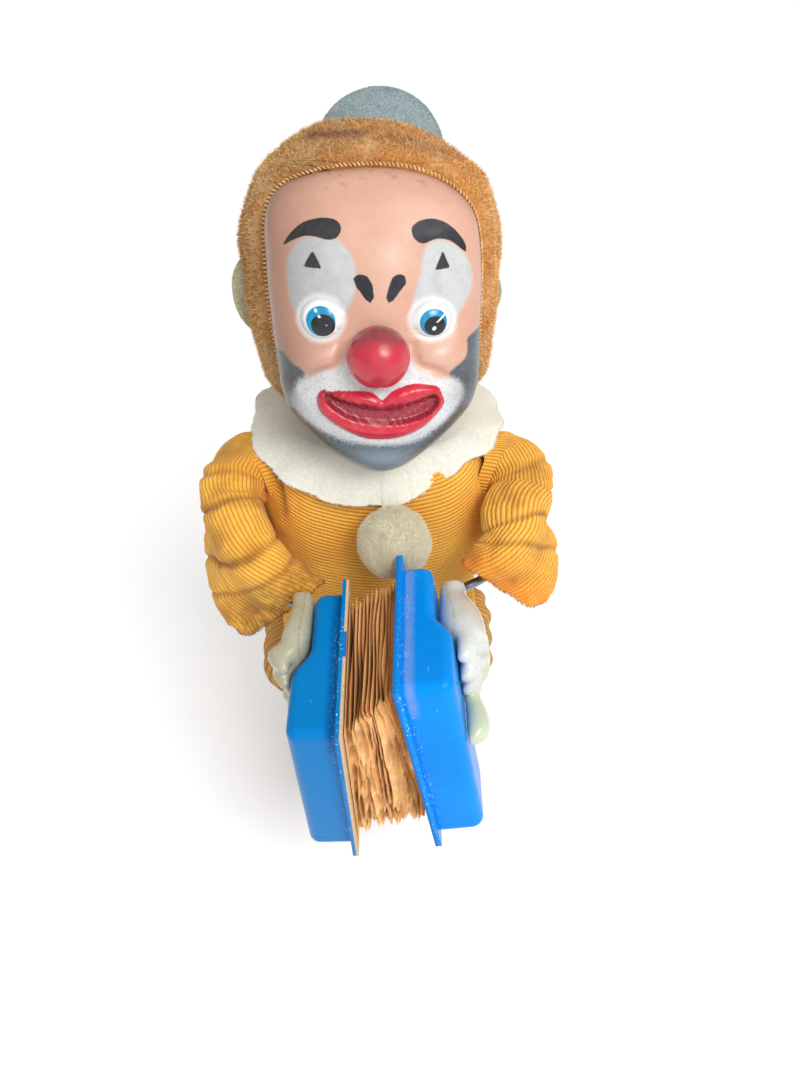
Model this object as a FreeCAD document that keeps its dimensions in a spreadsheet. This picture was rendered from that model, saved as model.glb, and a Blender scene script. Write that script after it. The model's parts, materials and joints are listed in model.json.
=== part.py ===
import FreeCAD, Part
import math
import os
import Sketcher
from FreeCAD import Placement, Rotation, Vector

# Clown automaton playing an accordion. Millimetres, +Z up, the clown faces -Y.
# Left and right are the clown's own, so its left hand is at +X.
# The spine stands spine_setback behind the middle of the footprint.

DRIVING_SIZES = (
    ("spine_setback", 27.8, "spine behind the middle of the footprint"),
    ("soft_gap", 0.3, "air between cloth and what it covers"),
    ("run_gap", 0.05, "radial clearance of a running fit"),
    ("slide_gap", 0.2, "clearance of a stud in its slot"),
    # shoes and legs
    ("shoe_long", 76, "shoe from heel to toe"),
    ("shoe_wide", 35, "width of a shoe"),
    ("shoe_tall", 17, "height of the upper"),
    ("shoe_heel", 25, "heel behind the spine"),
    ("sole_thick", 4, "thickness of the sole"),
    ("foot_offset", 20, "middle of a foot from the spine"),
    ("leg_radius", 6, "outside of a leg tube"),
    ("tube_wall", 0.8, "wall of a leg tube"),
    ("leg_socket", 8, "depth of the leg in the shoe"),
    # tin body
    ("hip_level", 40, "underside of the hip plate"),
    ("hip_thick", 3, "hip plate"),
    ("torso_wide", 66, "tin body across"),
    ("torso_deep", 46, "tin body front to back"),
    ("torso_corner", 14, "corner radius of the tin body"),
    ("torso_top", 155, "top of the tin body"),
    ("tin_wall", 0.8, "tin sheet"),
    ("neck_hole", 17, "radius of the hole at the neck"),
    # clockwork plates
    ("plate_thick", 1, "movement plate"),
    ("plate_gap", 16, "between the movement plates"),
    ("plate_half", 25, "half width of a movement plate"),
    ("plate_top", 153, "top of the front plate"),
    ("bar_half", 30.5, "half width of the front plate's shoulder bar"),
    ("bar_low", 141, "lower edge of the shoulder bar"),
    ("pillar_radius", 2, "pillar between the plates"),
    ("pillar_side", 18, "pillar from the middle"),
    ("pillar_low", 50, "level of the lower pillars"),
    ("pillar_high", 136, "level of the upper pillars"),
    ("screw_head", 1.8, "radius of a screw head"),
    ("screw_head_tall", 0.9, "height of a screw head"),
    ("screw_shank", 0.9, "radius of a screw shank"),
    # wheel train
    ("great_z", 78, "level of the winding arbor"),
    ("great_teeth", 48, "teeth of the great wheel"),
    ("great_module", 0.7, "module of the great wheel"),
    ("second_x", 8, "second arbor to the clown's left"),
    ("second_teeth", 36, "teeth of the second wheel"),
    ("second_module", 0.6, "module of the second wheel"),
    ("crank_teeth", 40, "teeth of the crank wheel"),
    ("crank_module", 0.5, "module of the crank wheel"),
    ("fly_x", -9, "fly arbor to the clown's right"),
    ("pinion_teeth", 12, "teeth of every pinion"),
    ("backlash", 0.16, "play between teeth at the pitch circle"),
    ("great_arbor", 2, "radius of the winding arbor"),
    ("arbor", 1.5, "radius of the other arbors"),
    ("wheel_thick", 1, "thickness of the brass wheels"),
    ("great_thick", 1.4, "thickness of the great wheel"),
    ("great_front", 5, "front face of the great wheel behind the spine"),
    ("second_front", -6.6, "front face of the second wheel"),
    ("crank_wheel_front", -2, "front face of the crank wheel"),
    ("ratchet_tip", 7, "tip radius of the ratchet wheel"),
    ("ratchet_root", 5.5, "root radius of the ratchet wheel"),
    ("ratchet_teeth", 12, "teeth of the ratchet wheel"),
    ("spring_core", 3, "radius of the core that takes the main spring"),
    ("spring_wide", 7.7, "width of the main spring"),
    ("spring_thick", 0.35, "thickness of the main spring"),
    ("spring_pitch", 1.5, "main spring from turn to turn"),
    ("spring_turns", 6, "turns of the main spring"),
    ("fly_radius", 8, "reach of the fly's blades"),
    ("fly_long", 5, "length of the fly's blades"),
    ("drum_radius", 3, "brake drum on the fly arbor"),
    # crank, yoke and levers
    ("crank_throw", 1.2, "crank pin from its arbor"),
    ("crank_lead", 0.4, "crank pin above its arbor at rest"),
    ("crank_disc_radius", 4.5, "crank disc"),
    ("crank_pin_radius", 1, "crank pin"),
    ("disc_thick", 1.4, "crank disc"),
    ("disc_gap", 0.6, "crank disc in front of the front plate"),
    ("yoke_gap", 3.9, "yoke in front of the front plate"),
    ("yoke_thick", 1, "yoke sheet"),
    ("lift_down", 1.6, "yoke travel down"),
    ("lift_up", 0.8, "yoke travel up"),
    ("guide_radius", 1.2, "guide stud"),
    ("guide_low", 98.5, "level of the lower guide stud"),
    ("guide_high", 133, "level of the upper guide stud"),
    ("shoulder_x", 26, "shoulder pin from the spine"),
    ("shoulder_z", 148, "level of the shoulder pins"),
    ("shoulder_pin", 1.5, "radius of a shoulder pin"),
    ("lever_reach", 12, "inner arm of a lever"),
    ("lever_outer", 36, "outer end of a lever from the spine"),
    ("lever_gap", 5.2, "levers in front of the front plate"),
    ("lever_thick", 1, "lever sheet"),
    ("lever_half", 2.4, "half height of a lever"),
    ("stud_radius", 1, "stud that works in a lever's slot"),
    # neck
    ("neck_y", 4, "neck pin behind the spine"),
    ("neck_z", 166, "level of the neck pin"),
    ("neck_pin_radius", 1.5, "neck pin"),
    ("neck_stud_gap", 4.4, "yoke's neck stud in front of the front plate"),
    ("stub_radius", 4, "stub that carries the head"),
    ("stub_long", 22, "length of the stub"),
    ("head_tilt", 19.3, "backward tilt of the head in degrees"),
    ("head_yaw", 2.5, "turn of the head to the clown's left in degrees"),
    # head, in its own frame at the neck pin
    ("core_low", 10, "underside of the head core"),
    ("core_top", 76.5, "top of the head core"),
    ("core_wall", 2, "wall of the head core"),
    ("face_half", 33, "half width of the face"),
    ("face_top", 73.5, "hairline above the neck pin"),
    ("face_chin", -16, "chin from the neck pin"),
    ("face_front", -50, "foremost part of the face without its nose"),
    ("nose_radius", 8.6, "ball nose"),
    ("nose_y", -55, "middle of the nose"),
    ("nose_z", 23, "middle of the nose"),
    ("hat_radius", 18.7, "dome of the hat"),
    ("hat_wall", 1.6, "felt of the hat"),
    ("hat_y", -3, "middle of the hat"),
    ("hat_x", 3.5, "hat to the clown's left of the middle"),
    ("hat_centre", 80, "level of the dome's centre"),
    ("ear_radius", 14, "felt ear"),
    ("ear_thick", 2.2, "felt ear"),
    # clothes
    ("jacket_hem", 64, "lower edge of the jacket"),
    ("jacket_top", 156.6, "neck edge of the jacket"),
    ("collar_inner", 18.5, "neck edge of the collar"),
    ("collar_top", 161.7, "level of the collar's neck edge"),
    ("collar_side", 46, "collar from the spine to its side"),
    ("collar_front", 31, "collar from the spine to its front"),
    ("collar_drop", 15, "front of the collar below its neck edge"),
    ("felt_thick", 1.2, "felt of the collar"),
    ("pompom_radius", 12, "pompom"),
    ("pompom_deep", 9.5, "half depth of the pompom"),
    # arms
    ("rod_radius", 1.5, "arm rod"),
    ("cuff_wall", 1.6, "cloth of a sleeve"),
    # accordion
    ("tray_tall", 75, "accordion shell from top to bottom"),
    ("tray_long", 59, "accordion shell from back to front"),
    ("tray_thin", 10.6, "accordion shell at its back"),
    ("tray_thick", 15.9, "accordion shell at its front"),
    ("tray_wall", 1.2, "plastic of the accordion shells"),
    ("tray_lip", 2.7, "flange around an accordion shell"),
    ("card_thick", 0.8, "paper end card"),
    ("pleats", 9, "pleats of the bellows"),
    ("pleat_deep", 3.4, "depth of a pleat"),
    ("paper_inset", 1.2, "inner folds of the paper from the outer ones"),
    ("bellows_margin", 2.6, "bellows inside the upper and side edges of the cards"),
    ("bellows_low", 6.5, "bellows above the lower edge of the cards"),
    # winding key
    ("key_front", 29.6, "hub of the key behind the spine"),
    ("key_back", 53, "end of the key's wings"),
    ("key_half", 15, "half width of the key"),
    ("key_thick", 2, "key sheet"),
)

doc = FreeCAD.newDocument("ClownAutomaton")
sheet = doc.addObject("Spreadsheet::Sheet", "Sizes")
for line, (alias, amount, meaning) in enumerate(DRIVING_SIZES, 1):
    sheet.set("A%d" % line, meaning)
    sheet.set("B%d" % line, str(amount))
    sheet.setAlias("B%d" % line, alias)
doc.recompute()


class Size:
    """A number together with the spreadsheet expression that it comes from."""

    def __init__(self, number, text):
        self.number = float(number)
        self.text = text

    def __float__(self):
        return self.number

    def __add__(self, other):
        return Size(self.number + float(other), "(%s + %s)" % (self.text, words(other)))

    def __radd__(self, other):
        return Size(float(other) + self.number, "(%s + %s)" % (words(other), self.text))

    def __sub__(self, other):
        return Size(self.number - float(other), "(%s - %s)" % (self.text, words(other)))

    def __rsub__(self, other):
        return Size(float(other) - self.number, "(%s - %s)" % (words(other), self.text))

    def __mul__(self, other):
        return Size(self.number * float(other), "(%s * %s)" % (self.text, words(other)))

    def __rmul__(self, other):
        return Size(float(other) * self.number, "(%s * %s)" % (words(other), self.text))

    def __truediv__(self, other):
        return Size(self.number / float(other), "(%s / %s)" % (self.text, words(other)))

    def __neg__(self):
        return Size(-self.number, "(-1 * %s)" % self.text)


def words(value):
    return value.text if isinstance(value, Size) else "(%.6f)" % value


def root(size):
    return Size(math.sqrt(size.number), "sqrt(%s)" % size.text)


class Sizes:
    """Reads a driving size of the sheet by its name."""

    def __getattr__(self, alias):
        return Size(sheet.get(alias), "Sizes." + alias)


size = Sizes()
FRONTWARD = Rotation(Vector(1, 0, 0), 90)
SEAM = 0.001
UPRIGHT = Rotation()
NO_TURN = Placement()
kept = []


# Document helpers

def bind(thing, prop, value):
    if isinstance(value, Size):
        thing.setExpression(prop, value.text)
    return float(value)


def put(thing, x, y, z, turn=UPRIGHT, spine=True):
    """Places a thing; y counts from the spine unless spine is False."""
    if spine:
        y = size.spine_setback + y
    thing.Placement = Placement(Vector(float(x), float(y), float(z)), turn)
    for axis, value in zip("xyz", (x, y, z)):
        bind(thing, ".Placement.Base." + axis, value)
    return thing


def keep(thing, label):
    thing.Label = label
    kept.append(thing)
    return thing


def cylinder(name, radius, height, x, y, z, turn=UPRIGHT, spine=True):
    thing = doc.addObject("Part::Cylinder", name)
    thing.Radius = bind(thing, "Radius", radius)
    thing.Height = bind(thing, "Height", height)
    return put(thing, x, y, z, turn, spine)


def rod_y(name, radius, front, back, x, z):
    """A cylinder along Y from front to back, both counted from the spine."""
    return cylinder(name, radius, back - front, x, back, z, FRONTWARD)


def box(name, x, y, z, spine=True):
    """A box between the two values of each of x, y and z."""
    thing = doc.addObject("Part::Box", name)
    thing.Length = bind(thing, "Length", x[1] - x[0])
    thing.Width = bind(thing, "Width", y[1] - y[0])
    thing.Height = bind(thing, "Height", z[1] - z[0])
    return put(thing, x[0], y[0], z[0], UPRIGHT, spine)


def cut(name, base, *tools):
    thing = doc.addObject("Part::Cut", name)
    thing.Base = base
    thing.Tool = tools[0] if len(tools) == 1 else fuse(name + "_tools", *tools)
    return thing


def fuse(name, *things):
    thing = doc.addObject("Part::MultiFuse", name)
    thing.Shapes = list(things)
    return thing


def common(name, one, other):
    thing = doc.addObject("Part::Common", name)
    thing.Base = one
    thing.Tool = other
    return thing


def group(name, things):
    thing = doc.addObject("Part::Compound", name)
    thing.Links = list(things)
    return thing


def solid(name, shape, placement=NO_TURN):
    thing = doc.addObject("Part::Feature", name)
    thing.Shape = shape
    thing.Placement = placement
    return thing


# Part Design helpers

def new_sketch(body, name, lift=None):
    """A sketch on the body's XY plane, raised by lift."""
    sketch = body.newObject("Sketcher::SketchObject", name)
    plane = [item for item in body.Origin.OriginFeatures if item.Role == "XY_Plane"][0]
    sketch.AttachmentSupport = (plane, [""])
    sketch.MapMode = "FlatFace"
    if lift is not None:
        sketch.AttachmentOffset = Placement(Vector(0, 0, float(lift)), UPRIGHT)
        bind(sketch, ".AttachmentOffset.Base.z", lift)
    return sketch


def pin_point(sketch, geometry, point, place):
    for kind, value in zip(("DistanceX", "DistanceY"), place):
        rule = Sketcher.Constraint(kind, -1, 1, geometry, point, float(value))
        number = sketch.addConstraint(rule)
        bind(sketch, "Constraints[%d]" % number, value)


def draw_outline(sketch, corners):
    first = sketch.GeometryCount
    points = [Vector(float(x), float(y), 0) for x, y in corners]
    count = len(points)
    for step in range(count):
        sketch.addGeometry(Part.LineSegment(points[step], points[(step + 1) % count]), False)
    for step in range(count):
        follower = first + (step + 1) % count
        sketch.addConstraint(Sketcher.Constraint("Coincident", first + step, 2, follower, 1))
        pin_point(sketch, first + step, 1, corners[step])


def draw_circle(sketch, x, y, radius):
    middle = Vector(float(x), float(y), 0)
    number = sketch.addGeometry(Part.Circle(middle, Vector(0, 0, 1), float(radius)), False)
    pin_point(sketch, number, 3, (x, y))
    rule = sketch.addConstraint(Sketcher.Constraint("Radius", number, float(radius)))
    bind(sketch, "Constraints[%d]" % rule, radius)


def rectangle(x, y, half_x, half_y):
    return ((x - half_x, y - half_y), (x + half_x, y - half_y),
            (x + half_x, y + half_y), (x - half_x, y + half_y))


def plate(name, outline, thick, holes=(), windows=(), lift=None):
    """A body padded upwards from one sketch with round holes and straight-sided windows."""
    body = doc.addObject("PartDesign::Body", name)
    sketch = new_sketch(body, name + "_sketch", lift)
    draw_outline(sketch, outline)
    for x, y, radius in holes:
        draw_circle(sketch, x, y, radius)
    for window in windows:
        draw_outline(sketch, window)
    pad = body.newObject("PartDesign::Pad", name + "_pad")
    pad.Profile = sketch
    pad.Length = bind(pad, "Length", thick)
    sketch.Visibility = False
    doc.recompute()
    return body


def round_edges(body, chosen, radius):
    """Fillets the edges of the body's tip that chosen picks by their two end points."""
    tip = body.Tip
    names = []
    for number, edge in enumerate(tip.Shape.Edges, 1):
        if len(edge.Vertexes) == 2 and chosen(edge.Vertexes[0].Point, edge.Vertexes[1].Point):
            names.append("Edge%d" % number)
    fillet = body.newObject("PartDesign::Fillet", body.Name + "_fillet")
    fillet.Base = (tip, names)
    fillet.Radius = bind(fillet, "Radius", radius)
    doc.recompute()
    return fillet


def is_upright(one, other):
    return abs(one.x - other.x) < 1e-4 and abs(one.y - other.y) < 1e-4


def rounded_block(name, half_wide, half_deep, corner, low, high):
    """An upright block with four rounded corners around the spine."""
    body = plate(name, rectangle(0 * half_wide, 0 * half_deep, half_wide, half_deep), high - low)
    round_edges(body, is_upright, corner)
    return put(body, 0, 0, low)


# Lofted forms

def ring(middle, across, along, half_across, half_along, corner):
    """A closed wire of four lines and four quarter arcs in the plane of across and along."""
    corner = min(corner, half_across - 0.4, half_along - 0.4)
    flat_across = half_across - corner
    flat_along = half_along - corner
    edges = []
    last = None
    first = None
    for quarter, (sign_across, sign_along) in enumerate(((1, 1), (-1, 1), (-1, -1), (1, -1))):
        hub = middle + across * (sign_across * flat_across) + along * (sign_along * flat_along)
        points = []
        for step in (0, 45, 90):
            angle = math.radians(90 * quarter + step)
            points.append(hub + across * (corner * math.cos(angle)) + along * (corner * math.sin(angle)))
        if last is not None:
            edges.append(Part.LineSegment(last, points[0]).toShape())
        else:
            first = points[0]
        edges.append(Part.Arc(*points).toShape())
        last = points[2]
    edges.append(Part.LineSegment(last, first).toShape())
    return Part.Wire(edges)


def level_rings(levels):
    """Rings across X and Y, each given as height, middle of Y, half width, half depth, corner."""
    across, along = Vector(1, 0, 0), Vector(0, 1, 0)
    return [ring(Vector(0, float(middle), float(height)), across, along,
                 float(wide), float(deep), float(corner))
            for height, middle, wide, deep, corner in levels]


def loft(wires, ruled=False):
    form = Part.makeLoft(wires, True, ruled)
    if form.Volume < 0:
        form.reverse()
    return form


def tube(outer, inner):
    """A sleeve of cloth between two skins of rings that share their end planes."""
    faces = Part.makeLoft(outer, False, True).Faces + Part.makeLoft(inner, False, True).Faces
    for end in (0, -1):
        faces.append(Part.Face([outer[end], inner[end]]))
    form = Part.makeSolid(Part.makeShell(faces))
    form.fix(SEAM, SEAM, SEAM)
    if form.Volume < 0:
        form.reverse()
    return form


def route_rings(middles, longs, halves, trim=0.0):
    """Rings square to a route of points; longs are the directions of their long axes."""
    rings = []
    last = len(middles) - 1
    for number, middle in enumerate(middles):
        ahead = middles[min(number + 1, last)] - middles[max(number - 1, 0)]
        ahead.normalize()
        long_axis = longs[number] - ahead * longs[number].dot(ahead)
        long_axis.normalize()
        short_axis = long_axis.cross(ahead)
        short, long_half = halves[number]
        rings.append(ring(middle, short_axis, long_axis, short - trim, long_half - trim,
                          min(short, long_half) * 0.85 - trim))
    return rings


def wire_rod(points, radius, bend_share=0.45):
    """A round wire through points, with tangent arcs at its bends."""
    edges = []
    start = points[0]
    for number in range(1, len(points) - 1):
        here = points[number]
        back = points[number - 1] - here
        ahead = points[number + 1] - here
        reach = bend_share * min(back.Length, ahead.Length)
        back.normalize()
        ahead.normalize()
        enter = here + back * reach
        leave = here + ahead * reach
        half_angle = math.acos(max(-1.0, min(1.0, back.dot(ahead)))) / 2
        bend = reach * math.tan(half_angle)
        inward = back + ahead
        inward.normalize()
        hub = here + inward * (reach / math.cos(half_angle))
        edges.append(Part.LineSegment(start, enter).toShape())
        edges.append(Part.Arc(enter, hub - inward * bend, leave).toShape())
        start = leave
    edges.append(Part.LineSegment(start, points[-1]).toShape())
    path = Part.Wire(edges)
    first_run = points[1] - points[0]
    circle = Part.Wire([Part.Circle(points[0], first_run, radius).toShape()])
    return path.makePipeShell([circle], True, False)


# Wheels

PRESSURE = math.radians(20)
ADDENDUM = 0.7
DEDENDUM = 1.0


def gear_blank(teeth, module, thick, tooth_angle):
    """An involute wheel around Z with one tooth centred on tooth_angle, in radians."""
    pitch = teeth * module / 2
    base = pitch * math.cos(PRESSURE)
    tip = pitch + ADDENDUM * module
    foot = pitch - DEDENDUM * module
    half_tooth = math.pi / (2 * teeth) - float(size.backlash) / (2 * pitch)
    involute = math.tan(PRESSURE) - PRESSURE

    def half_angle(radius):
        if radius <= base:
            return half_tooth + involute
        slope = math.acos(base / radius)
        return half_tooth + involute - (math.tan(slope) - slope)

    def point(radius, angle):
        return Vector(radius * math.cos(angle), radius * math.sin(angle), 0)

    start = max(base, foot)
    middle = (start + tip) / 2
    edges = []
    pitch_angle = 2 * math.pi / teeth
    for number in range(teeth):
        centre = tooth_angle + number * pitch_angle
        rise = [point(radius, centre - half_angle(radius)) for radius in (start, middle, tip)]
        fall = [point(radius, centre + half_angle(radius)) for radius in (tip, middle, start)]
        if foot < base:
            edges.append(Part.LineSegment(point(foot, centre - half_angle(foot)), rise[0]).toShape())
        edges.append(Part.Arc(*rise).toShape())
        edges.append(Part.Arc(rise[2], point(tip, centre), fall[0]).toShape())
        edges.append(Part.Arc(*fall).toShape())
        low = fall[2]
        if foot < base:
            low = point(foot, centre + half_angle(foot))
            edges.append(Part.LineSegment(fall[2], low).toShape())
        following = centre + pitch_angle
        edges.append(Part.Arc(low, point(foot, centre + pitch_angle / 2),
                              point(foot, following - half_angle(foot))).toShape())
    return Part.Face(Part.Wire(edges)).extrude(Vector(0, 0, thick))


def wheel(name, teeth, module, thick, bore, front, x, z, tooth_angle):
    """A wheel whose front face is at front, with a bore for its arbor."""
    blank = solid(name + "_blank", gear_blank(teeth, module, float(thick), tooth_angle))
    put(blank, x, front + thick, z, FRONTWARD)
    return cut(name, blank, rod_y(name + "_bore", bore, front - 1, front + thick + 1, x, z))


def pinion(name, module, front, back, x, z, tooth_angle):
    blank = gear_blank(int(size.pinion_teeth.number), module, float(back) - float(front), tooth_angle)
    return put(solid(name, blank), x, back, z, FRONTWARD)


def centre_distance(teeth, module):
    return module * (teeth + size.pinion_teeth) / 2


def step_up(distance, sideways):
    return root(distance * distance - sideways * sideways)


SECOND_Z = size.great_z + step_up(centre_distance(size.great_teeth, size.great_module), size.second_x)
CRANK_Z = SECOND_Z + step_up(centre_distance(size.second_teeth, size.second_module), size.second_x)
FLY_Z = CRANK_Z + step_up(centre_distance(size.crank_teeth, size.crank_module), size.fly_x)
PLATE_INNER = size.plate_gap / 2
PLATE_OUTER = PLATE_INNER + size.plate_thick
DISC_BACK = -(PLATE_OUTER + size.disc_gap)
YOKE_BACK = -(PLATE_OUTER + size.yoke_gap)
LEVER_BACK = -(PLATE_OUTER + size.lever_gap)
NECK_STUD_Y = -(PLATE_OUTER + size.neck_stud_gap)
FRAME_LOW = size.hip_level + size.hip_thick


# Shoes, legs and hips

def make_legs():
    for side, label in ((1, "left"), (-1, "right")):
        middle = side * size.foot_offset
        toe = size.shoe_heel - size.shoe_long
        half = size.shoe_wide / 2
        waist = half - 5
        outline = ((middle - waist, size.shoe_heel), (middle - half, toe + 30),
                   (middle - half + 2, toe), (middle + half - 2, toe),
                   (middle + half, toe + 30), (middle + waist, size.shoe_heel))
        sole = plate("sole_" + label, outline, size.sole_thick)
        round_edges(sole, is_upright, 7)
        put(sole, 0, 0, 0)
        inset = 1.5
        upper_outline = ((middle - waist + inset, size.shoe_heel - inset),
                         (middle - half + inset, toe + 30),
                         (middle - half + 2 + inset, toe + inset),
                         (middle + half - 2 - inset, toe + inset),
                         (middle + half - inset, toe + 30),
                         (middle + waist - inset, size.shoe_heel - inset))
        upper = plate("upper_" + label, upper_outline, size.shoe_tall - size.sole_thick)
        round_edges(upper, is_upright, 6)
        top = (size.shoe_tall - size.sole_thick).number
        round_edges(upper, lambda one, other: one.z > top - 1e-4 and other.z > top - 1e-4, 5)
        put(upper, 0, 0, size.sole_thick)
        ankle = cylinder("ankle_" + label, size.leg_radius + 5, size.shoe_tall + 2, middle, 0, 0)
        floor = size.shoe_tall + 2 - size.leg_socket
        socket = cylinder("socket_" + label, size.leg_radius, 2 * size.leg_socket, middle, 0, floor)
        shoe = cut("shoe_" + label, fuse("shoe_mass_" + label, sole, upper, ankle), socket)
        keep(shoe, "shoe_" + label)
        tube = cylinder("tube_" + label, size.leg_radius, size.hip_level - floor, middle, 0, floor)
        bore = cylinder("tube_bore_" + label, size.leg_radius - size.tube_wall,
                        size.hip_level, middle, 0, floor - 1)
        keep(cut("leg_" + label, tube, bore), "leg_" + label)

    fit = size.tin_wall + size.run_gap
    hip = rounded_block("hip_block", size.torso_wide / 2 - fit, size.torso_deep / 2 - fit,
                        size.torso_corner - fit, size.hip_level, FRAME_LOW)
    holes = []
    for number, (x, y) in enumerate(shell_screw_places()):
        front = y - 8
        back = y + 8
        holes.append(rod_y("hip_thread_%d" % number, size.screw_shank, front, back, x,
                           size.hip_level + size.hip_thick / 2))
    for number, y in enumerate(foot_screw_places()):
        holes.append(cylinder("hip_foot_thread_%d" % number, size.screw_shank,
                              size.hip_thick, 0, y, size.hip_level))
    keep(cut("hip_plate", hip, *holes), "hip_plate")


def shell_screw_places():
    face = size.torso_deep / 2
    return ((-16, -face), (16, -face), (-16, face), (16, face))


def foot_screw_places():
    return (-PLATE_OUTER - 4, PLATE_OUTER + 4)


# Tin body

def make_body_shells():
    half_wide, half_deep = size.torso_wide / 2, size.torso_deep / 2
    outer = rounded_block("torso_outer", half_wide, half_deep, size.torso_corner,
                          size.hip_level, size.torso_top)
    inner = rounded_block("torso_inner", half_wide - size.tin_wall, half_deep - size.tin_wall,
                          size.torso_corner - size.tin_wall, size.hip_level - 1,
                          size.torso_top - size.tin_wall)
    neck = cylinder("torso_neck", size.neck_hole, 10, 0, 0, size.torso_top - 5)
    screws = [rod_y("torso_screw_hole_%d" % number, size.screw_shank + size.run_gap,
                    y - 3, y + 3, x, size.hip_level + size.hip_thick / 2)
              for number, (x, y) in enumerate(shell_screw_places())]
    key_hole = rod_y("torso_key_hole", size.great_arbor + 0.6, 15, 30, 0, size.great_z)
    stop_slot = box("torso_stop_slot", STOP_SLOT_X, (15, 30), STOP_SLOT_Z)
    arm_slots = [arm_slot("torso_arm_slot_%s" % label, side, 0.5)
                 for side, label in ((1, "left"), (-1, "right"))]
    wall = cut("torso_wall", outer, inner, neck, key_hole, stop_slot, *screws, *arm_slots)
    front = box("torso_front_half", (-half_wide - 5, half_wide + 5), (-half_deep - 5, 0),
                (size.hip_level - 5, size.torso_top + 5))
    back = box("torso_back_half", (-half_wide - 5, half_wide + 5), (0, half_deep + 5),
               (size.hip_level - 5, size.torso_top + 5))
    keep(common("body_shell_front", wall, front), "body_shell_front")
    keep(common("body_shell_back", wall, back), "body_shell_back")
    screws = []
    for number, (x, y) in enumerate(shell_screw_places()):
        outward = 1 if float(y) > 0 else -1
        level = size.hip_level + size.hip_thick / 2
        shank = rod_y("shell_shank_%d" % number, size.screw_shank,
                      min_size(y, y - outward * 6), max_size(y, y - outward * 6), x, level)
        far = y + outward * size.screw_head_tall
        head = rod_y("shell_head_%d" % number, size.screw_head, min_size(y, far),
                     max_size(y, far), x, level)
        screws.append(fuse("shell_screw_%d" % number, shank, head))
    keep(group("shell_screws", screws), "shell_screws")


def min_size(one, other):
    return one if float(one) < float(other) else other


def max_size(one, other):
    return one if float(one) > float(other) else other


def arm_slot(name, side, room):
    """The opening beside a shoulder through which a lever and its rod reach out."""
    swing = (size.lever_outer - size.shoulder_x) * (size.lift_down / size.lever_reach)
    low = size.shoulder_z - size.lever_half - swing - room
    high = size.shoulder_z + size.lever_half + swing + room
    front = LEVER_BACK - size.lever_thick - 2 * size.rod_radius - room
    near, far = (28, 60) if side > 0 else (-60, -28)
    return box(name, (near, far), (front, LEVER_BACK + room), (low, high))


# Clockwork

STOP_X = -18
STOP_PIVOT_Z = 100
STOP_HANDLE_Z = 88
STOP_SLOT_X = (-24, -16)
STOP_SLOT_Z = (85.5, 90.5)


def plate_holes(front_plate):
    play = size.run_gap
    holes = [(0, size.great_z, size.great_arbor + play),
             (size.second_x, SECOND_Z, size.arbor + play),
             (0, CRANK_Z, size.arbor + play),
             (size.fly_x, FLY_Z, size.arbor + play)]
    for side in (-1, 1):
        for level in (size.pillar_low, size.pillar_high):
            holes.append((side * size.pillar_side, level, size.screw_shank))
    if front_plate:
        holes += [(0, size.guide_low, size.guide_radius), (0, size.guide_high, size.guide_radius)]
        holes += [(side * size.shoulder_x, size.shoulder_z, size.shoulder_pin) for side in (-1, 1)]
    else:
        holes.append((STOP_X, STOP_PIVOT_Z, size.guide_radius))
    return holes


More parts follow.
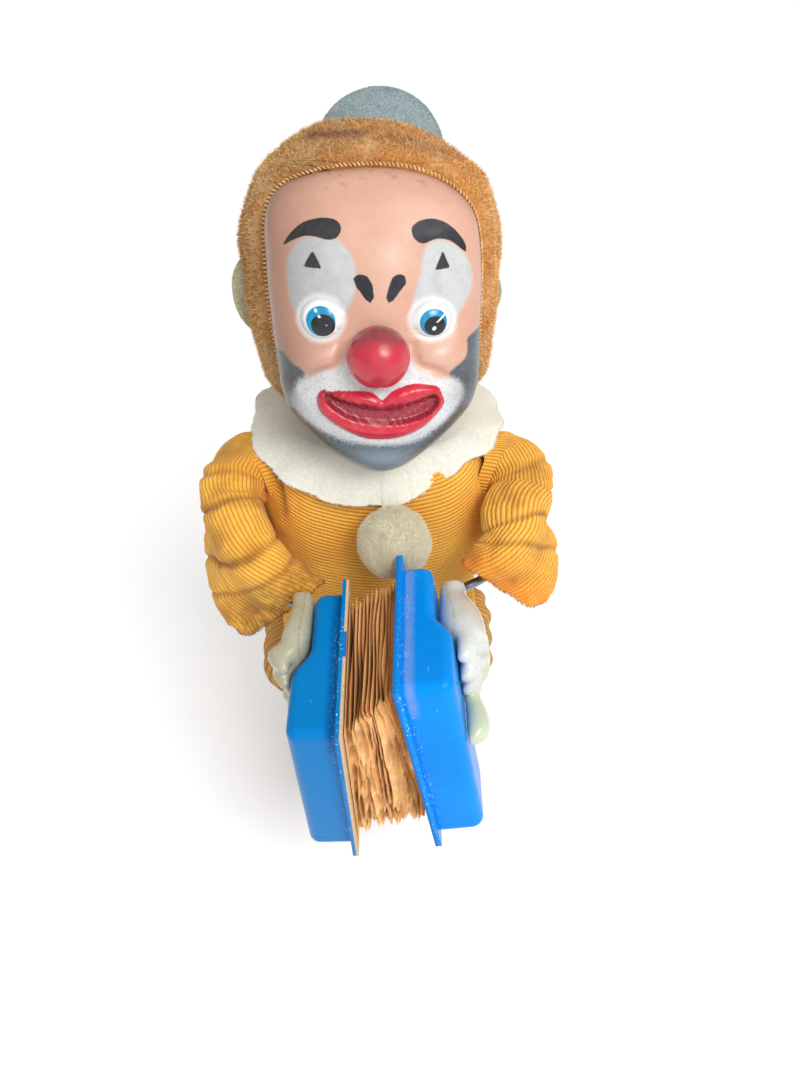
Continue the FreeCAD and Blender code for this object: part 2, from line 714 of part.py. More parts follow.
def make_frame():
    half, bar = size.plate_half, size.bar_half
    outline = ((-half, FRAME_LOW), (half, FRAME_LOW), (half, size.bar_low), (bar, size.bar_low),
               (bar, size.plate_top), (-bar, size.plate_top), (-bar, size.bar_low),
               (-half, size.bar_low))
    sheet_front = plate("front_sheet", outline, size.plate_thick, plate_holes(True))
    put(sheet_front, 0, -PLATE_INNER, 0, FRONTWARD)
    back_outline = ((-half, FRAME_LOW), (half, FRAME_LOW), (half, size.plate_top), (-half, size.plate_top))
    sheet_back = plate("back_sheet", back_outline, size.plate_thick, plate_holes(False))
    put(sheet_back, 0, PLATE_OUTER, 0, FRONTWARD)
    for name, sheet_part, reach in (("front_plate", sheet_front, (-PLATE_OUTER - 8, -PLATE_OUTER)),
                                    ("back_plate", sheet_back, (PLATE_OUTER, PLATE_OUTER + 8))):
        foot = box(name + "_foot", (-9, 9), reach, (FRAME_LOW, FRAME_LOW + size.plate_thick))
        screw_y = foot_screw_places()[0 if name == "front_plate" else 1]
        hole = cylinder(name + "_foot_hole", size.screw_shank + size.run_gap, 10, 0, screw_y,
                        FRAME_LOW - 3)
        keep(cut(name, fuse(name + "_bent", sheet_part, foot), hole), name)

    pillars = []
    screws = []
    for side in (-1, 1):
        for level in (size.pillar_low, size.pillar_high):
            tag = "%d_%d" % (side, int(level.number))
            x = side * size.pillar_side
            column = rod_y("column_" + tag, size.pillar_radius, -PLATE_INNER, PLATE_INNER, x, level)
            thread = rod_y("column_thread_" + tag, size.screw_shank, -PLATE_INNER, PLATE_INNER, x, level)
            pillars.append(cut("pillar_" + tag, column, thread))
            screws.append(y_screw("plate_screw_front_" + tag, x, level, -PLATE_OUTER, -1))
            screws.append(y_screw("plate_screw_back_" + tag, x, level, PLATE_OUTER, 1))
    keep(group("frame_pillars", pillars), "frame_pillars")
    for number, y in enumerate(foot_screw_places()):
        top = FRAME_LOW + size.plate_thick
        head = cylinder("foot_head_%d" % number, size.screw_head, size.screw_head_tall, 0, y, top)
        shank = cylinder("foot_shank_%d" % number, size.screw_shank,
                         size.hip_thick + size.plate_thick, 0, y, size.hip_level)
        screws.append(fuse("foot_screw_%d" % number, head, shank))
    keep(group("frame_screws", screws), "frame_screws")

    studs = []
    for level, tag in ((size.guide_low, "low"), (size.guide_high, "high")):
        tip = YOKE_BACK - size.yoke_thick - 0.3
        shaft = rod_y("guide_shaft_" + tag, size.guide_radius, tip, -PLATE_INNER, 0, level)
        cap = rod_y("guide_cap_" + tag, size.guide_radius + 1, tip - 0.6, tip, 0, level)
        studs.append(fuse("guide_" + tag, shaft, cap))
    shaft = rod_y("stop_shaft", size.guide_radius, PLATE_INNER, PLATE_OUTER + 1.4, STOP_X, STOP_PIVOT_Z)
    cap = rod_y("stop_cap", size.guide_radius + 1, PLATE_OUTER + 1.4, PLATE_OUTER + 2, STOP_X, STOP_PIVOT_Z)
    studs.append(fuse("stop_stud", shaft, cap))
    keep(group("frame_studs", studs), "frame_studs")

    pins = []
    for side in (-1, 1):
        x = side * size.shoulder_x
        face = LEVER_BACK - size.lever_thick - 0.3
        shaft = rod_y("shoulder_shaft_%d" % side, size.shoulder_pin, face, -PLATE_INNER, x, size.shoulder_z)
        head = rod_y("shoulder_head_%d" % side, size.shoulder_pin + 1, face - 0.6, face, x, size.shoulder_z)
        collar = rod_y("shoulder_spacer_%d" % side, size.shoulder_pin + 1, LEVER_BACK + 0.3,
                       -PLATE_OUTER, x, size.shoulder_z)
        pins.append(fuse("shoulder_pin_%d" % side, shaft, head, collar))
    keep(group("shoulder_pins", pins), "shoulder_pins")


def y_screw(name, x, z, seat, outward):
    """A screw along Y whose head rests on seat and whose shank points inwards."""
    far = seat + outward * size.screw_head_tall
    deep = seat - outward * 6
    head = rod_y(name + "_head", size.screw_head, min_size(seat, far), max_size(seat, far), x, z)
    shank = rod_y(name + "_shank", size.screw_shank, min_size(seat, deep), max_size(seat, deep), x, z)
    return fuse(name, head, shank)


SPRING_FRONT = -4.6
POST_ANGLE = 212.0
POST_REACH = 20.0
POST_RADIUS = 1.2


def make_mainspring():
    """A strip spiral of quarter arcs around four hubs, ending in a straight tail at its post."""
    pitch = float(size.spring_pitch)
    half = float(size.spring_thick) / 2
    turns = int(size.spring_turns.number)
    corner = pitch / 8
    hubs = [Vector(-corner, corner, 0), Vector(-corner, -corner, 0),
            Vector(corner, -corner, 0), Vector(corner, corner, 0)]
    radius = float(size.spring_core) + half + 0.1 + 2 * corner
    inner_edges = []
    outer_edges = []
    for quarter in range(4 * turns):
        hub = hubs[quarter % 4]
        start = math.radians(90 * quarter)
        for edges, reach in ((inner_edges, radius - half), (outer_edges, radius + half)):
            points = [hub + Vector(reach * math.cos(start + turn), reach * math.sin(start + turn), 0)
                      for turn in (0, math.pi / 4, math.pi / 2)]
            edges.append(points)
        last_hub = hub
        radius += pitch / 4
    final = radius - pitch / 4
    end_angle = math.radians(90 * 4 * turns)
    tangent = Vector(-math.sin(end_angle), math.cos(end_angle), 0)
    middle_end = last_hub + Vector(final * math.cos(end_angle), final * math.sin(end_angle), 0)
    reach = math.sqrt(POST_REACH ** 2 - middle_end.Length ** 2)
    tail = reach - POST_RADIUS - 0.3
    outline = [Part.Arc(*points).toShape() for points in inner_edges]
    outline += [Part.Arc(*points).toShape() for points in outer_edges]
    inner_start, outer_start = inner_edges[0][0], outer_edges[0][0]
    inner_end, outer_end = inner_edges[-1][2], outer_edges[-1][2]
    outline.append(Part.LineSegment(inner_start, outer_start).toShape())
    outline.append(Part.LineSegment(inner_end, inner_end + tangent * tail).toShape())
    outline.append(Part.LineSegment(outer_end, outer_end + tangent * tail).toShape())
    outline.append(Part.LineSegment(inner_end + tangent * tail, outer_end + tangent * tail).toShape())
    strip = Part.Face(Part.Wire(Part.__sortEdges__(outline)))
    body = strip.extrude(Vector(0, 0, float(size.spring_wide)))
    post_now = math.degrees(math.atan2((middle_end + tangent * reach).y, (middle_end + tangent * reach).x))
    turn = FRONTWARD.multiply(Rotation(Vector(0, 0, 1), POST_ANGLE - post_now))
    strip_part = put(solid("spring_strip", body), 0, SPRING_FRONT + size.spring_wide, size.great_z, turn)
    keep(strip_part, "mainspring")
    x = POST_REACH * math.cos(math.radians(POST_ANGLE))
    z = size.great_z + POST_REACH * math.sin(math.radians(POST_ANGLE))
    keep(rod_y("post_rod", POST_RADIUS, -PLATE_INNER, PLATE_INNER, x, z), "spring_post")


def make_train():
    play = size.run_gap
    great_back = size.great_front + size.great_thick
    to_second = math.atan2((SECOND_Z - size.great_z).number, size.second_x.number)
    to_crank = math.atan2((CRANK_Z - SECOND_Z).number, -size.second_x.number)
    to_fly = math.atan2((FLY_Z - CRANK_Z).number, size.fly_x.number)
    gap = math.pi + math.pi / size.pinion_teeth.number

    shaft = rod_y("winding_shaft", size.great_arbor, -PLATE_OUTER - 0.5, size.key_front + 9, 0, size.great_z)
    core = rod_y("winding_core", size.spring_core, SPRING_FRONT - 0.4, size.great_front - 1.3, 0, size.great_z)
    keep(fuse("winding_arbor", shaft, core), "winding_arbor")

    teeth = int(size.ratchet_teeth.number)
    corners = []
    for number in range(teeth):
        angle = math.radians(90 + number * 360 / teeth)
        for radius in (size.ratchet_tip, size.ratchet_root):
            corners.append((radius * math.cos(angle), radius * math.sin(angle)))
    ratchet = plate("ratchet_wheel", corners, 0.9, [(0, 0, size.great_arbor)])
    put(ratchet, 0, size.great_front - 0.2, size.great_z, FRONTWARD)
    keep(ratchet, "ratchet_wheel")

    great = wheel("great_wheel", int(size.great_teeth.number), size.great_module.number,
                  size.great_thick, size.great_arbor + play, size.great_front, 0, size.great_z, to_second)
    keep(great, "great_wheel")
    click_x, click_z = -9, size.great_z + 7.5
    rivet_shaft = rod_y("rivet_shaft", 0.8, size.great_front - 1.5, size.great_front, click_x, click_z)
    rivet_head = rod_y("rivet_head", 1.4, size.great_front - 1.9, size.great_front - 1.4, click_x, click_z)
    keep(fuse("click_rivet", rivet_shaft, rivet_head), "click_rivet")
    pawl_corners = ((8.7, -1.6), (8.7, 0.9), (1.0, 1.9), (-1.8, 1.6), (-1.8, -1.2), (1.0, -1.8),
                    (5.4, -0.75), (7.8, -1.5))
    pawl = plate("click_pawl", pawl_corners, 0.8, [(0, 0, 0.8 + play)])
    put(pawl, click_x, size.great_front - 0.3, click_z, FRONTWARD)
    keep(pawl, "click_pawl")
    leaf = [Vector(-12.5, 4.8, 0), Vector(-11.6, 9.6, 0), Vector(-7.2, 9.95, 0)]
    stem = Part.makeCylinder(0.5, 1.6, Vector(-12.5, 4.8, -0.6))
    strip = stem
    for one, other in zip(leaf, leaf[1:]):
        along = other - one
        side = Vector(-along.y, along.x, 0)
        side.normalize()
        side = side * 0.18
        corners = [one - side, other - side, other + side, one + side, one - side]
        strip = strip.fuse(Part.Face(Part.makePolygon(corners)).extrude(Vector(0, 0, 0.7)))
    spring = put(solid("click_leaf", strip.removeSplitter()), 0, size.great_front - 0.6,
                 size.great_z, FRONTWARD)
    keep(spring, "click_spring")

    module = size.great_module.number
    shaft = rod_y("second_shaft", size.arbor, -PLATE_OUTER - 0.3, PLATE_OUTER + 0.3, size.second_x, SECOND_Z)
    leaves = pinion("second_leaves", module, size.great_front - 1, great_back + 1, size.second_x,
                    SECOND_Z, to_second + gap)
    keep(fuse("second_arbor", shaft, leaves), "second_arbor")
    second = wheel("second_wheel", int(size.second_teeth.number), size.second_module.number,
                   size.wheel_thick, size.arbor, size.second_front, size.second_x, SECOND_Z, to_crank)
    keep(second, "second_wheel")

    shaft = rod_y("crank_shaft", size.arbor, DISC_BACK - size.disc_thick, PLATE_OUTER + 0.3, 0, CRANK_Z)
    leaves = pinion("crank_leaves", size.second_module.number, size.second_front - 0.6,
                    size.second_front + size.wheel_thick + 0.6, 0, CRANK_Z, to_crank + gap)
    keep(fuse("crank_arbor", shaft, leaves), "crank_arbor")
    crank = wheel("crank_wheel", int(size.crank_teeth.number), size.crank_module.number,
                  size.wheel_thick, size.arbor, size.crank_wheel_front, 0, CRANK_Z, to_fly)
    keep(crank, "crank_wheel")
    disc = rod_y("crank_disc_sheet", size.crank_disc_radius, DISC_BACK - size.disc_thick,
                 DISC_BACK, 0, CRANK_Z)
    bore = rod_y("crank_disc_bore", size.arbor, DISC_BACK - 5, DISC_BACK + 5, 0, CRANK_Z)
    pin_x = step_up(size.crank_throw, size.crank_lead)
    pin = rod_y("crank_pin", size.crank_pin_radius, YOKE_BACK + 0.3,
                DISC_BACK - size.disc_thick, pin_x, CRANK_Z + size.crank_lead)
    keep(fuse("crank_disc", cut("crank_disc_ring", disc, bore), pin), "crank_disc")

    shaft = rod_y("fly_shaft", size.arbor, -PLATE_OUTER - 0.3, PLATE_OUTER + 1.2, size.fly_x, FLY_Z)
    leaves = pinion("fly_leaves", size.crank_module.number, size.crank_wheel_front - 0.8,
                    size.crank_wheel_front + size.wheel_thick + 0.8, size.fly_x, FLY_Z, to_fly + gap)
    drum = rod_y("fly_drum", size.drum_radius, PLATE_OUTER + 0.2, PLATE_OUTER + 1.2, size.fly_x, FLY_Z)
    keep(fuse("fly_arbor", shaft, leaves, drum), "fly_arbor")
    fan_front = 1
    blade = box("fly_blade", (size.fly_x - size.fly_radius, size.fly_x + size.fly_radius),
                (fan_front, fan_front + size.fly_long), (FLY_Z - 0.3, FLY_Z + 0.3))
    hub = rod_y("fly_hub", size.arbor + 1, fan_front, fan_front + size.fly_long, size.fly_x, FLY_Z)
    bore = rod_y("fly_bore", size.arbor, fan_front - 1, fan_front + size.fly_long + 1, size.fly_x, FLY_Z)
    keep(cut("fly_fan", fuse("fly_vane", blade, hub), bore), "fly_fan")


def make_stop_lever():
    arm_top = STOP_PIVOT_Z + 21
    outline = ((STOP_X - 1.5, STOP_HANDLE_Z - 1.5), (STOP_X + 1.5, STOP_HANDLE_Z - 1.5),
               (STOP_X + 1.5, STOP_PIVOT_Z - 3.5), (STOP_X + 3.2, STOP_PIVOT_Z),
               (STOP_X + 1.5, STOP_PIVOT_Z + 3.5), (STOP_X + 1.5, arm_top),
               (STOP_X - 1.5, arm_top), (STOP_X - 1.5, STOP_PIVOT_Z + 3.5),
               (STOP_X - 3.2, STOP_PIVOT_Z), (STOP_X - 1.5, STOP_PIVOT_Z - 3.5))
    lever = plate("stop_sheet", outline, 1, [(STOP_X, STOP_PIVOT_Z, size.guide_radius + size.run_gap)])
    put(lever, 0, PLATE_OUTER + 1.2, 0, FRONTWARD)
    handle = box("stop_handle", (STOP_X - 1.5, STOP_X + 1.5), (PLATE_OUTER + 1.2, 34),
                 (STOP_HANDLE_Z - 0.5, STOP_HANDLE_Z + 0.5))
    knob = box("stop_tab", (STOP_X - 2.2, STOP_X + 2.2), (31, 34.5), (STOP_HANDLE_Z - 0.5, STOP_HANDLE_Z + 2.5))
    keep(fuse("stop_lever", lever, handle, knob), "stop_lever")


def make_key():
    hub = rod_y("key_hub", 3.4, size.key_front, size.key_back - 11, 0, size.great_z)
    bore = rod_y("key_bore", size.great_arbor, size.key_front - 1, size.key_front + 9, 0, size.great_z)
    near, far, half = size.key_back - 15, size.key_back, size.key_half
    right = ((2.5, near), (7, near + 0.5), (half - 1, near + 3), (half, near + 9),
             (half - 3, far), (half - 8, far), (2.5, far - 5))
    left = tuple((-x, y) for x, y in reversed(right))
    wings = plate("key_wings", right + left, size.key_thick)
    round_edges(wings, is_upright, 1.5)
    put(wings, 0, 0, size.great_z - size.key_thick / 2)
    keep(cut("winding_key", fuse("key_body", hub, wings), bore), "winding_key")


# Yoke, levers and neck

def make_yoke():
    slot_z = CRANK_Z + size.crank_lead
    play = size.slide_gap
    pin, guide = size.crank_pin_radius + play, size.guide_radius + play
    slot_half = size.crank_throw + pin + 0.4
    wide = size.shoulder_x - size.lever_reach + 3
    outline = ((-3.5, size.guide_low - 6.5), (3.5, size.guide_low - 6.5), (3.5, slot_z - 4.5),
               (7.5, slot_z - 4.5), (7.5, slot_z + 5), (3.5, slot_z + 5), (3.5, size.shoulder_z - 3.5),
               (wide, size.shoulder_z - 3.5), (wide, size.shoulder_z + 3.5), (2, size.shoulder_z + 3.5),
               (2, size.neck_z + 2.2), (-2, size.neck_z + 2.2), (-2, size.shoulder_z + 3.5),
               (-wide, size.shoulder_z + 3.5), (-wide, size.shoulder_z - 3.5), (-3.5, size.shoulder_z - 3.5),
               (-3.5, slot_z + 5), (-7.5, slot_z + 5), (-7.5, slot_z - 4.5), (-3.5, slot_z - 4.5))
    windows = [rectangle(0, slot_z, slot_half, pin)]
    for level in (size.guide_low, size.guide_high):
        middle = level + (size.lift_down - size.lift_up) / 2
        windows.append(rectangle(0, middle, guide, guide + (size.lift_down + size.lift_up) / 2))
    yoke = plate("yoke_sheet", outline, size.yoke_thick, (), windows)
    put(yoke, 0, YOKE_BACK, 0, FRONTWARD)
    inner_x = size.shoulder_x - size.lever_reach
    face = YOKE_BACK - size.yoke_thick
    studs = [rod_y("yoke_stud_%d" % side, size.stud_radius, face - 1.6, face, side * inner_x, size.shoulder_z)
             for side in (-1, 1)]
    neck_stud = cylinder("yoke_neck_stud", size.stud_radius, 9.6, -4.8, NECK_STUD_Y, size.neck_z,
                         Rotation(Vector(0, 1, 0), 90))
    keep(fuse("lift_yoke", yoke, neck_stud, *studs), "lift_yoke")


def make_levers():
    half = size.lever_half
    inner_x = size.shoulder_x - size.lever_reach
    for side, label in ((1, "left"), (-1, "right")):
        def at(x, z):
            return (side * x, size.shoulder_z + z)

        outline = (at(inner_x - 2.7, -half + 0.2), at(size.shoulder_x - 4, -half + 0.2),
                   at(size.shoulder_x, -half - 1.2), at(size.shoulder_x + 4, -half),
                   at(size.lever_outer, -half), at(size.lever_outer, half),
                   at(size.shoulder_x + 4, half), at(size.shoulder_x, half + 1.2),
                   at(size.shoulder_x - 4, half - 0.2), at(inner_x - 2.7, half - 0.2))
        hole = (side * size.shoulder_x, size.shoulder_z, size.shoulder_pin + size.run_gap)
        slot = rectangle(side * inner_x, size.shoulder_z, size.stud_radius + 0.4,
                         size.stud_radius + size.slide_gap)
        lever = plate("lever_" + label, outline, size.lever_thick, [hole], [slot])
        put(lever, 0, LEVER_BACK, 0, FRONTWARD)
        keep(lever, "arm_lever_" + label)


def make_neck():
    ear_half = 1.4 / 2
    ear_x = 7.2
    base = box("bracket_base", (-8.5, 8.5), (-PLATE_INNER, PLATE_INNER),
               (size.plate_top - 1.5, size.plate_top))
    ears = [box("bracket_ear_%d" % side, (side * ear_x - ear_half, side * ear_x + ear_half),
                (size.neck_y - 5, size.neck_y + 4), (size.plate_top, size.neck_z + 4))
            for side in (-1, 1)]
    sideways = Rotation(Vector(0, 1, 0), 90)
    hole = cylinder("bracket_hole", size.neck_pin_radius, 30, -15, size.neck_y, size.neck_z, sideways)
    keep(cut("neck_bracket", fuse("bracket_bent", base, *ears), hole), "neck_bracket")
    keep(cylinder("neck_pin_rod", size.neck_pin_radius, 17, -8.5, size.neck_y, size.neck_z, sideways),
         "neck_pin")
    hub = cylinder("rocker_hub", 4.2, 11.8, -5.9, size.neck_y, size.neck_z, sideways)
    stub = cylinder("rocker_stub", size.stub_radius, size.stub_long, 0, size.neck_y, size.neck_z,
                    HEAD_TURN)
    arms = []
    slots = []
    for side in (-1, 1):
        near, far = (3, 4.2) if side > 0 else (-4.2, -3)
        arms.append(box("rocker_arm_%d" % side, (near, far), (NECK_STUD_Y - 2.6, size.neck_y),
                        (size.neck_z - 2.4, size.neck_z + 2.4)))
        play = size.stud_radius + size.slide_gap
        slots.append(box("rocker_slot_%d" % side, (near - 1, far + 1),
                         (NECK_STUD_Y - play - 0.3, NECK_STUD_Y + play + 0.3),
                         (size.neck_z - play, size.neck_z + play)))
    bore = cylinder("rocker_bore", size.neck_pin_radius + size.run_gap, 30, -15, size.neck_y,
                    size.neck_z, sideways)
    keep(cut("neck_rocker", fuse("rocker_mass", hub, stub, *arms), bore, *slots), "neck_rocker")


HEAD_TURN = Rotation(Vector(0, 0, 1), size.head_yaw.number).multiply(
    Rotation(Vector(1, 0, 0), -size.head_tilt.number))
HEAD_PLACE = Placement(Vector(0, (size.spine_setback + size.neck_y).number, size.neck_z.number), HEAD_TURN)


# Head, built in its own frame at the neck pin and then tilted back

def core_levels(grow):
    low, top = size.core_low.number, size.core_top.number
    return ((low - grow, -3, 15 + grow, 15 + grow, 14.0 + grow),
            (low + 9, -4, 24 + grow, 24 + grow, 21.0 + grow),
            (low + 25, -5, 30 + grow, 29.5 + grow, 26.0 + grow),
            (low + 42, -5, 31.5 + grow, 30 + grow, 27.0 + grow),
            (low + 56, -4, 28.5 + grow, 27.5 + grow, 24.0 + grow),
            (top + grow, -3, 20 + grow, 20 + grow, 18.0 + grow))


def hood_levels(grow):
    return ((-9, -5, 33 + grow, 31 + grow, 27),
            (4, -5, 37 + grow, 35 + grow, 30),
            (19, -4, 40 + grow, 38 + grow, 33),
            (37, -4, 41 + grow, 39.5 + grow, 34),
            (53, -4, 42 + grow, 39.5 + grow, 34),
            (62, -4, 40.5 + grow, 38 + grow, 33),
            (71, -4, 36.5 + grow, 35 + grow, 30),
            (79, -4, 30 + grow, 29.5 + grow, 26),
            (84.5, -4, 22.5 + grow, 23.5 + grow, 20.5),
            (87, -4, 15.5 + grow, 17 + grow, 14))


def face_ring(depth, share, grow):
    """The outline of the face at one depth: crown, temples, cheeks, jaw and a rounded chin."""
    half = size.face_half.number
    crown, chin = size.face_top.number, size.face_chin.number
    middle = (crown + chin) / 2
    tall = (crown - chin) / 2

    def point(x, z):
        return Vector(x * share * (1 + grow / half), depth,
                      middle + (z - middle) * share * (1 + grow / tall))

    right_side = (((0.79 * half, crown - 5), (0.94 * half, crown - 14), (half, crown - 27)),
                  ((half, crown - 27), (0.98 * half, crown - 49), (0.88 * half, chin + 20)),
                  ((0.88 * half, chin + 20), (0.7 * half, chin + 9.5), (0.44 * half, chin + 3)))
    arcs = [((-0.79 * half, crown - 5), (0, crown), (0.79 * half, crown - 5))]
    arcs += right_side
    arcs.append(((0.44 * half, chin + 3), (0, chin), (-0.44 * half, chin + 3)))
    arcs += [tuple((-x, z) for x, z in reversed(arc)) for arc in reversed(right_side)]
    return Part.Wire([Part.Arc(*(point(x, z) for x, z in arc)).toShape() for arc in arcs])


def make_hat():
    """A felt dome with a short straight skirt that stands on the head core."""
    radius, wall = size.hat_radius.number, size.hat_wall.number
    centre = size.hat_centre.number
    foot = (size.core_top + size.soft_gap).number
    middle_x, middle_y = size.hat_x.number, size.hat_y.number
    slant = math.sin(math.pi / 4)

    def point(reach, height):
        return Vector(middle_x + reach, middle_y, height)

    def quarter(reach):
        return Part.Arc(point(0, centre + reach), point(reach * slant, centre + reach * slant),
                        point(reach, centre)).toShape()

    inner = radius - wall
    outline = [quarter(radius), Part.LineSegment(point(radius, centre), point(radius, foot)).toShape(),
               Part.LineSegment(point(radius, foot), point(inner, foot)).toShape(),
               Part.LineSegment(point(inner, foot), point(inner, centre)).toShape(), quarter(inner),
               Part.LineSegment(point(0, centre + inner), point(0, centre + radius)).toShape()]
    profile = Part.Face(Part.Wire(Part.__sortEdges__(outline)))
    return profile.revolve(point(0, 0), Vector(0, 0, 1), 360)


def make_head():
    front = size.face_front.number
    core_outer = loft(level_rings(core_levels(0)))
    core_clear = loft(level_rings(core_levels(size.soft_gap.number)))
    inner = loft(level_rings([(height, middle, wide, deep, corner)
                              for height, middle, wide, deep, corner
                              in core_levels(-size.core_wall.number)][1:-1]))
    stub_bore = Part.makeCylinder((size.stub_radius + size.run_gap).number, size.stub_long.number + 2)
    floor = Part.makeCylinder((size.stub_radius + 3).number, size.stub_long.number - 6,
                              Vector(0, 0, size.core_low.number + 2))
    core = core_outer.cut(inner).fuse(floor.common(core_outer)).cut(stub_bore)
    keep(solid("head_core", core, HEAD_PLACE), "head_core")

    rings = [face_ring(depth, share, 0) for depth, share in
             ((front + 22, 1.0), (front + 15, 1.0), (front + 9, 0.97), (front + 4.5, 0.87),
              (front + 1.4, 0.68), (front, 0.42))]
    mask = loft(rings)
    nose_place = Vector(0, size.nose_y.number, size.nose_z.number)
    nose = Part.makeSphere(size.nose_radius.number, nose_place)
    face = mask.cut(core_clear).cut(nose)
    keep(solid("face", face, HEAD_PLACE), "face")
    keep(solid("nose", nose, HEAD_PLACE), "nose")

    gap = size.soft_gap.number
    window = loft([face_ring(front - 20, 1.0, 2 * gap), face_ring(front + 22 + gap, 1.0, 2 * gap)], True)
    hat_hole = Part.makeCylinder((size.hat_radius + size.soft_gap).number, 60,
                                 Vector(size.hat_x.number, size.hat_y.number, size.core_top.number))
    neck_hole = Part.makeCylinder((size.collar_inner + 3).number, 40,
                                  Vector(0, 0, size.core_low.number + 1 - 40))
    under = Part.makeBox(200, 200, 60)
    under_turn = Rotation(Vector(1, 0, 0), -4.0)
    under_world = Placement(Vector(-100, size.spine_setback.number, 166.5), under_turn)
    under.Placement = HEAD_PLACE.inverse().multiply(
        under_world.multiply(Placement(Vector(0, -100, -60), UPRIGHT)))
    hood = loft(level_rings(hood_levels(0)))
    hood = hood.cut(core_clear).cut(window).cut(hat_hole).cut(neck_hole).cut(under)
    keep(solid("hood", hood, HEAD_PLACE), "hood")

    keep(solid("hat", make_hat(), HEAD_PLACE), "hat")

    hood_clear = loft(level_rings(hood_levels(gap)))
    for side, label, out, back in ((1, "left", 30.0, -4), (-1, "right", 31.7, -14)):
        disc = Part.makeCylinder(size.ear_radius.number, size.ear_thick.number,
                                 Vector(side * out, back, 36.5), Vector(0, 1, 0.15))
        ear = disc.cut(hood_clear)
        keep(solid("ear_" + label, ear, HEAD_PLACE), "ear_" + label)


# Clothes

def torso_clear(name, low, high):
    gap = size.soft_gap
    return rounded_block(name, size.torso_wide / 2 + gap, size.torso_deep / 2 + gap,
                         size.torso_corner + gap, low, high)


def over_torso(levels):
    """Levels of cloth given as height, shift back, and how far it stands outside the tin body."""
    half_wide, half_deep = size.torso_wide.number / 2, size.torso_deep.number / 2
    return [(height, back, half_wide + wide, half_deep + deep, size.torso_corner.number + corner)
            for height, back, wide, deep, corner in levels]


def make_clothes():
    hem, top = size.jacket_hem.number, size.jacket_top.number
    spine = Placement(Vector(0, size.spine_setback.number, 0), UPRIGHT)
    jacket_levels = ((hem, 0, 8, 7.5, 6), (hem + 14, 0, 7, 7, 6), (hem + 34, -0.5, 5, 5.5, 6),
                     (hem + 60, -0.5, 4.5, 5, 6), (hem + 79, 0, 4.2, 4, 5.5), (hem + 89, 0, 2, 1.8, 3.5),
                     (top - 1.6, 0, 1.2, 1.2, 1.6), (top, 0, -2, -1.5, 0))
    form = solid("jacket_form", loft(level_rings(over_torso(jacket_levels)), True), spine)
    inside = torso_clear("jacket_inside", size.jacket_hem - 5, size.torso_top + size.soft_gap)
    neck = cylinder("jacket_neck", size.neck_hole + 1.3, 30, 0, 0, size.torso_top - 5)
    key_hole = rod_y("jacket_key_hole", size.great_arbor + 2.5, 15, 40, 0, size.great_z)
    stop_slot = box("jacket_stop_slot", (STOP_SLOT_X[0] - 1, STOP_SLOT_X[1] + 2), (15, 40),
                    (STOP_SLOT_Z[0] - 1, STOP_SLOT_Z[1] + 1))
    armholes = [arm_slot("jacket_armhole_%s" % label, side, 1.2)
                for side, label in ((1, "left"), (-1, "right"))]
    keep(cut("jacket", form, inside, neck, key_hole, stop_slot, *armholes), "jacket")

    foot, shin = size.foot_offset.number, size.leg_radius.number
    legs = loft(level_rings(over_torso(((hem - 0.4, 0, 8, 7.5, 6), (hem - 6, 0, 14.5, 11, 10),
                                        (hem - 15, 0, 16.5, 12, 12), (hem - 26, 0, 13.5, 10, 10),
                                        (hem - 29, 0, 10.5, 8, 8)))))
    for side in (1, -1):
        rings = [ring(Vector(side * (foot + out), -1, height), Vector(1, 0, 0), Vector(0, 1, 0),
                      shin + loose_x, shin + loose_y, shin + corner)
                 for height, out, loose_x, loose_y, corner in
                 ((hem - 18, 2, 12, 20, 9), (hem - 27, 2.5, 13.5, 24, 11),
                  (hem - 35, 2, 13, 22, 11), (hem - 41, 1, 10, 16, 8), (hem - 44, 0.5, 7, 11, 5))]
        legs = legs.fuse(loft(rings))
    trousers_form = solid("trousers_form", legs, spine)
    screw_pockets = [rod_y("trousers_screw_%d" % number, size.screw_head + size.soft_gap, y - 1.5, y + 1.5,
                           x, size.hip_level + size.hip_thick / 2)
                     for number, (x, y) in enumerate(shell_screw_places())]
    inside = torso_clear("trousers_inside", size.hip_level - size.soft_gap, size.jacket_hem + 5)
    leg_holes = [cylinder("trousers_leg_%d" % side, size.leg_radius + size.soft_gap, size.hip_level,
                          side * size.foot_offset, 0, 5) for side in (1, -1)]
    ankle_holes = [cylinder("trousers_ankle_%d" % side, size.leg_radius + 5 + size.soft_gap, 15,
                            side * size.foot_offset, 0, size.shoe_tall + 2 + size.soft_gap - 15)
                   for side in (1, -1)]
    keep(cut("trousers", trousers_form, inside, *leg_holes, *ankle_holes, *screw_pockets), "trousers")

    keep(solid("collar", make_collar(), spine), "collar")
    pompom = doc.addObject("Part::Ellipsoid", "pompom_ball")
    pompom.Radius1 = bind(pompom, "Radius1", size.pompom_radius)
    pompom.Radius2 = bind(pompom, "Radius2", size.pompom_radius)
    pompom.Radius3 = bind(pompom, "Radius3", size.pompom_deep)
    pompom.Angle1 = -90
    put(pompom, 4.5, -38.3, 137, FRONTWARD)
    pompom.Radius1 = bind(pompom, "Radius1", size.pompom_deep)
    pompom.Radius3 = bind(pompom, "Radius3", size.pompom_radius)
    keep(pompom, "pompom")


COLLAR_STATIONS = 18
COLLAR_FOLDS = 9


def oval(angle, across, along):
    """The reach of an ellipse around the spine in one direction."""
    return 1 / math.hypot(math.cos(angle) / across, math.sin(angle) / along)


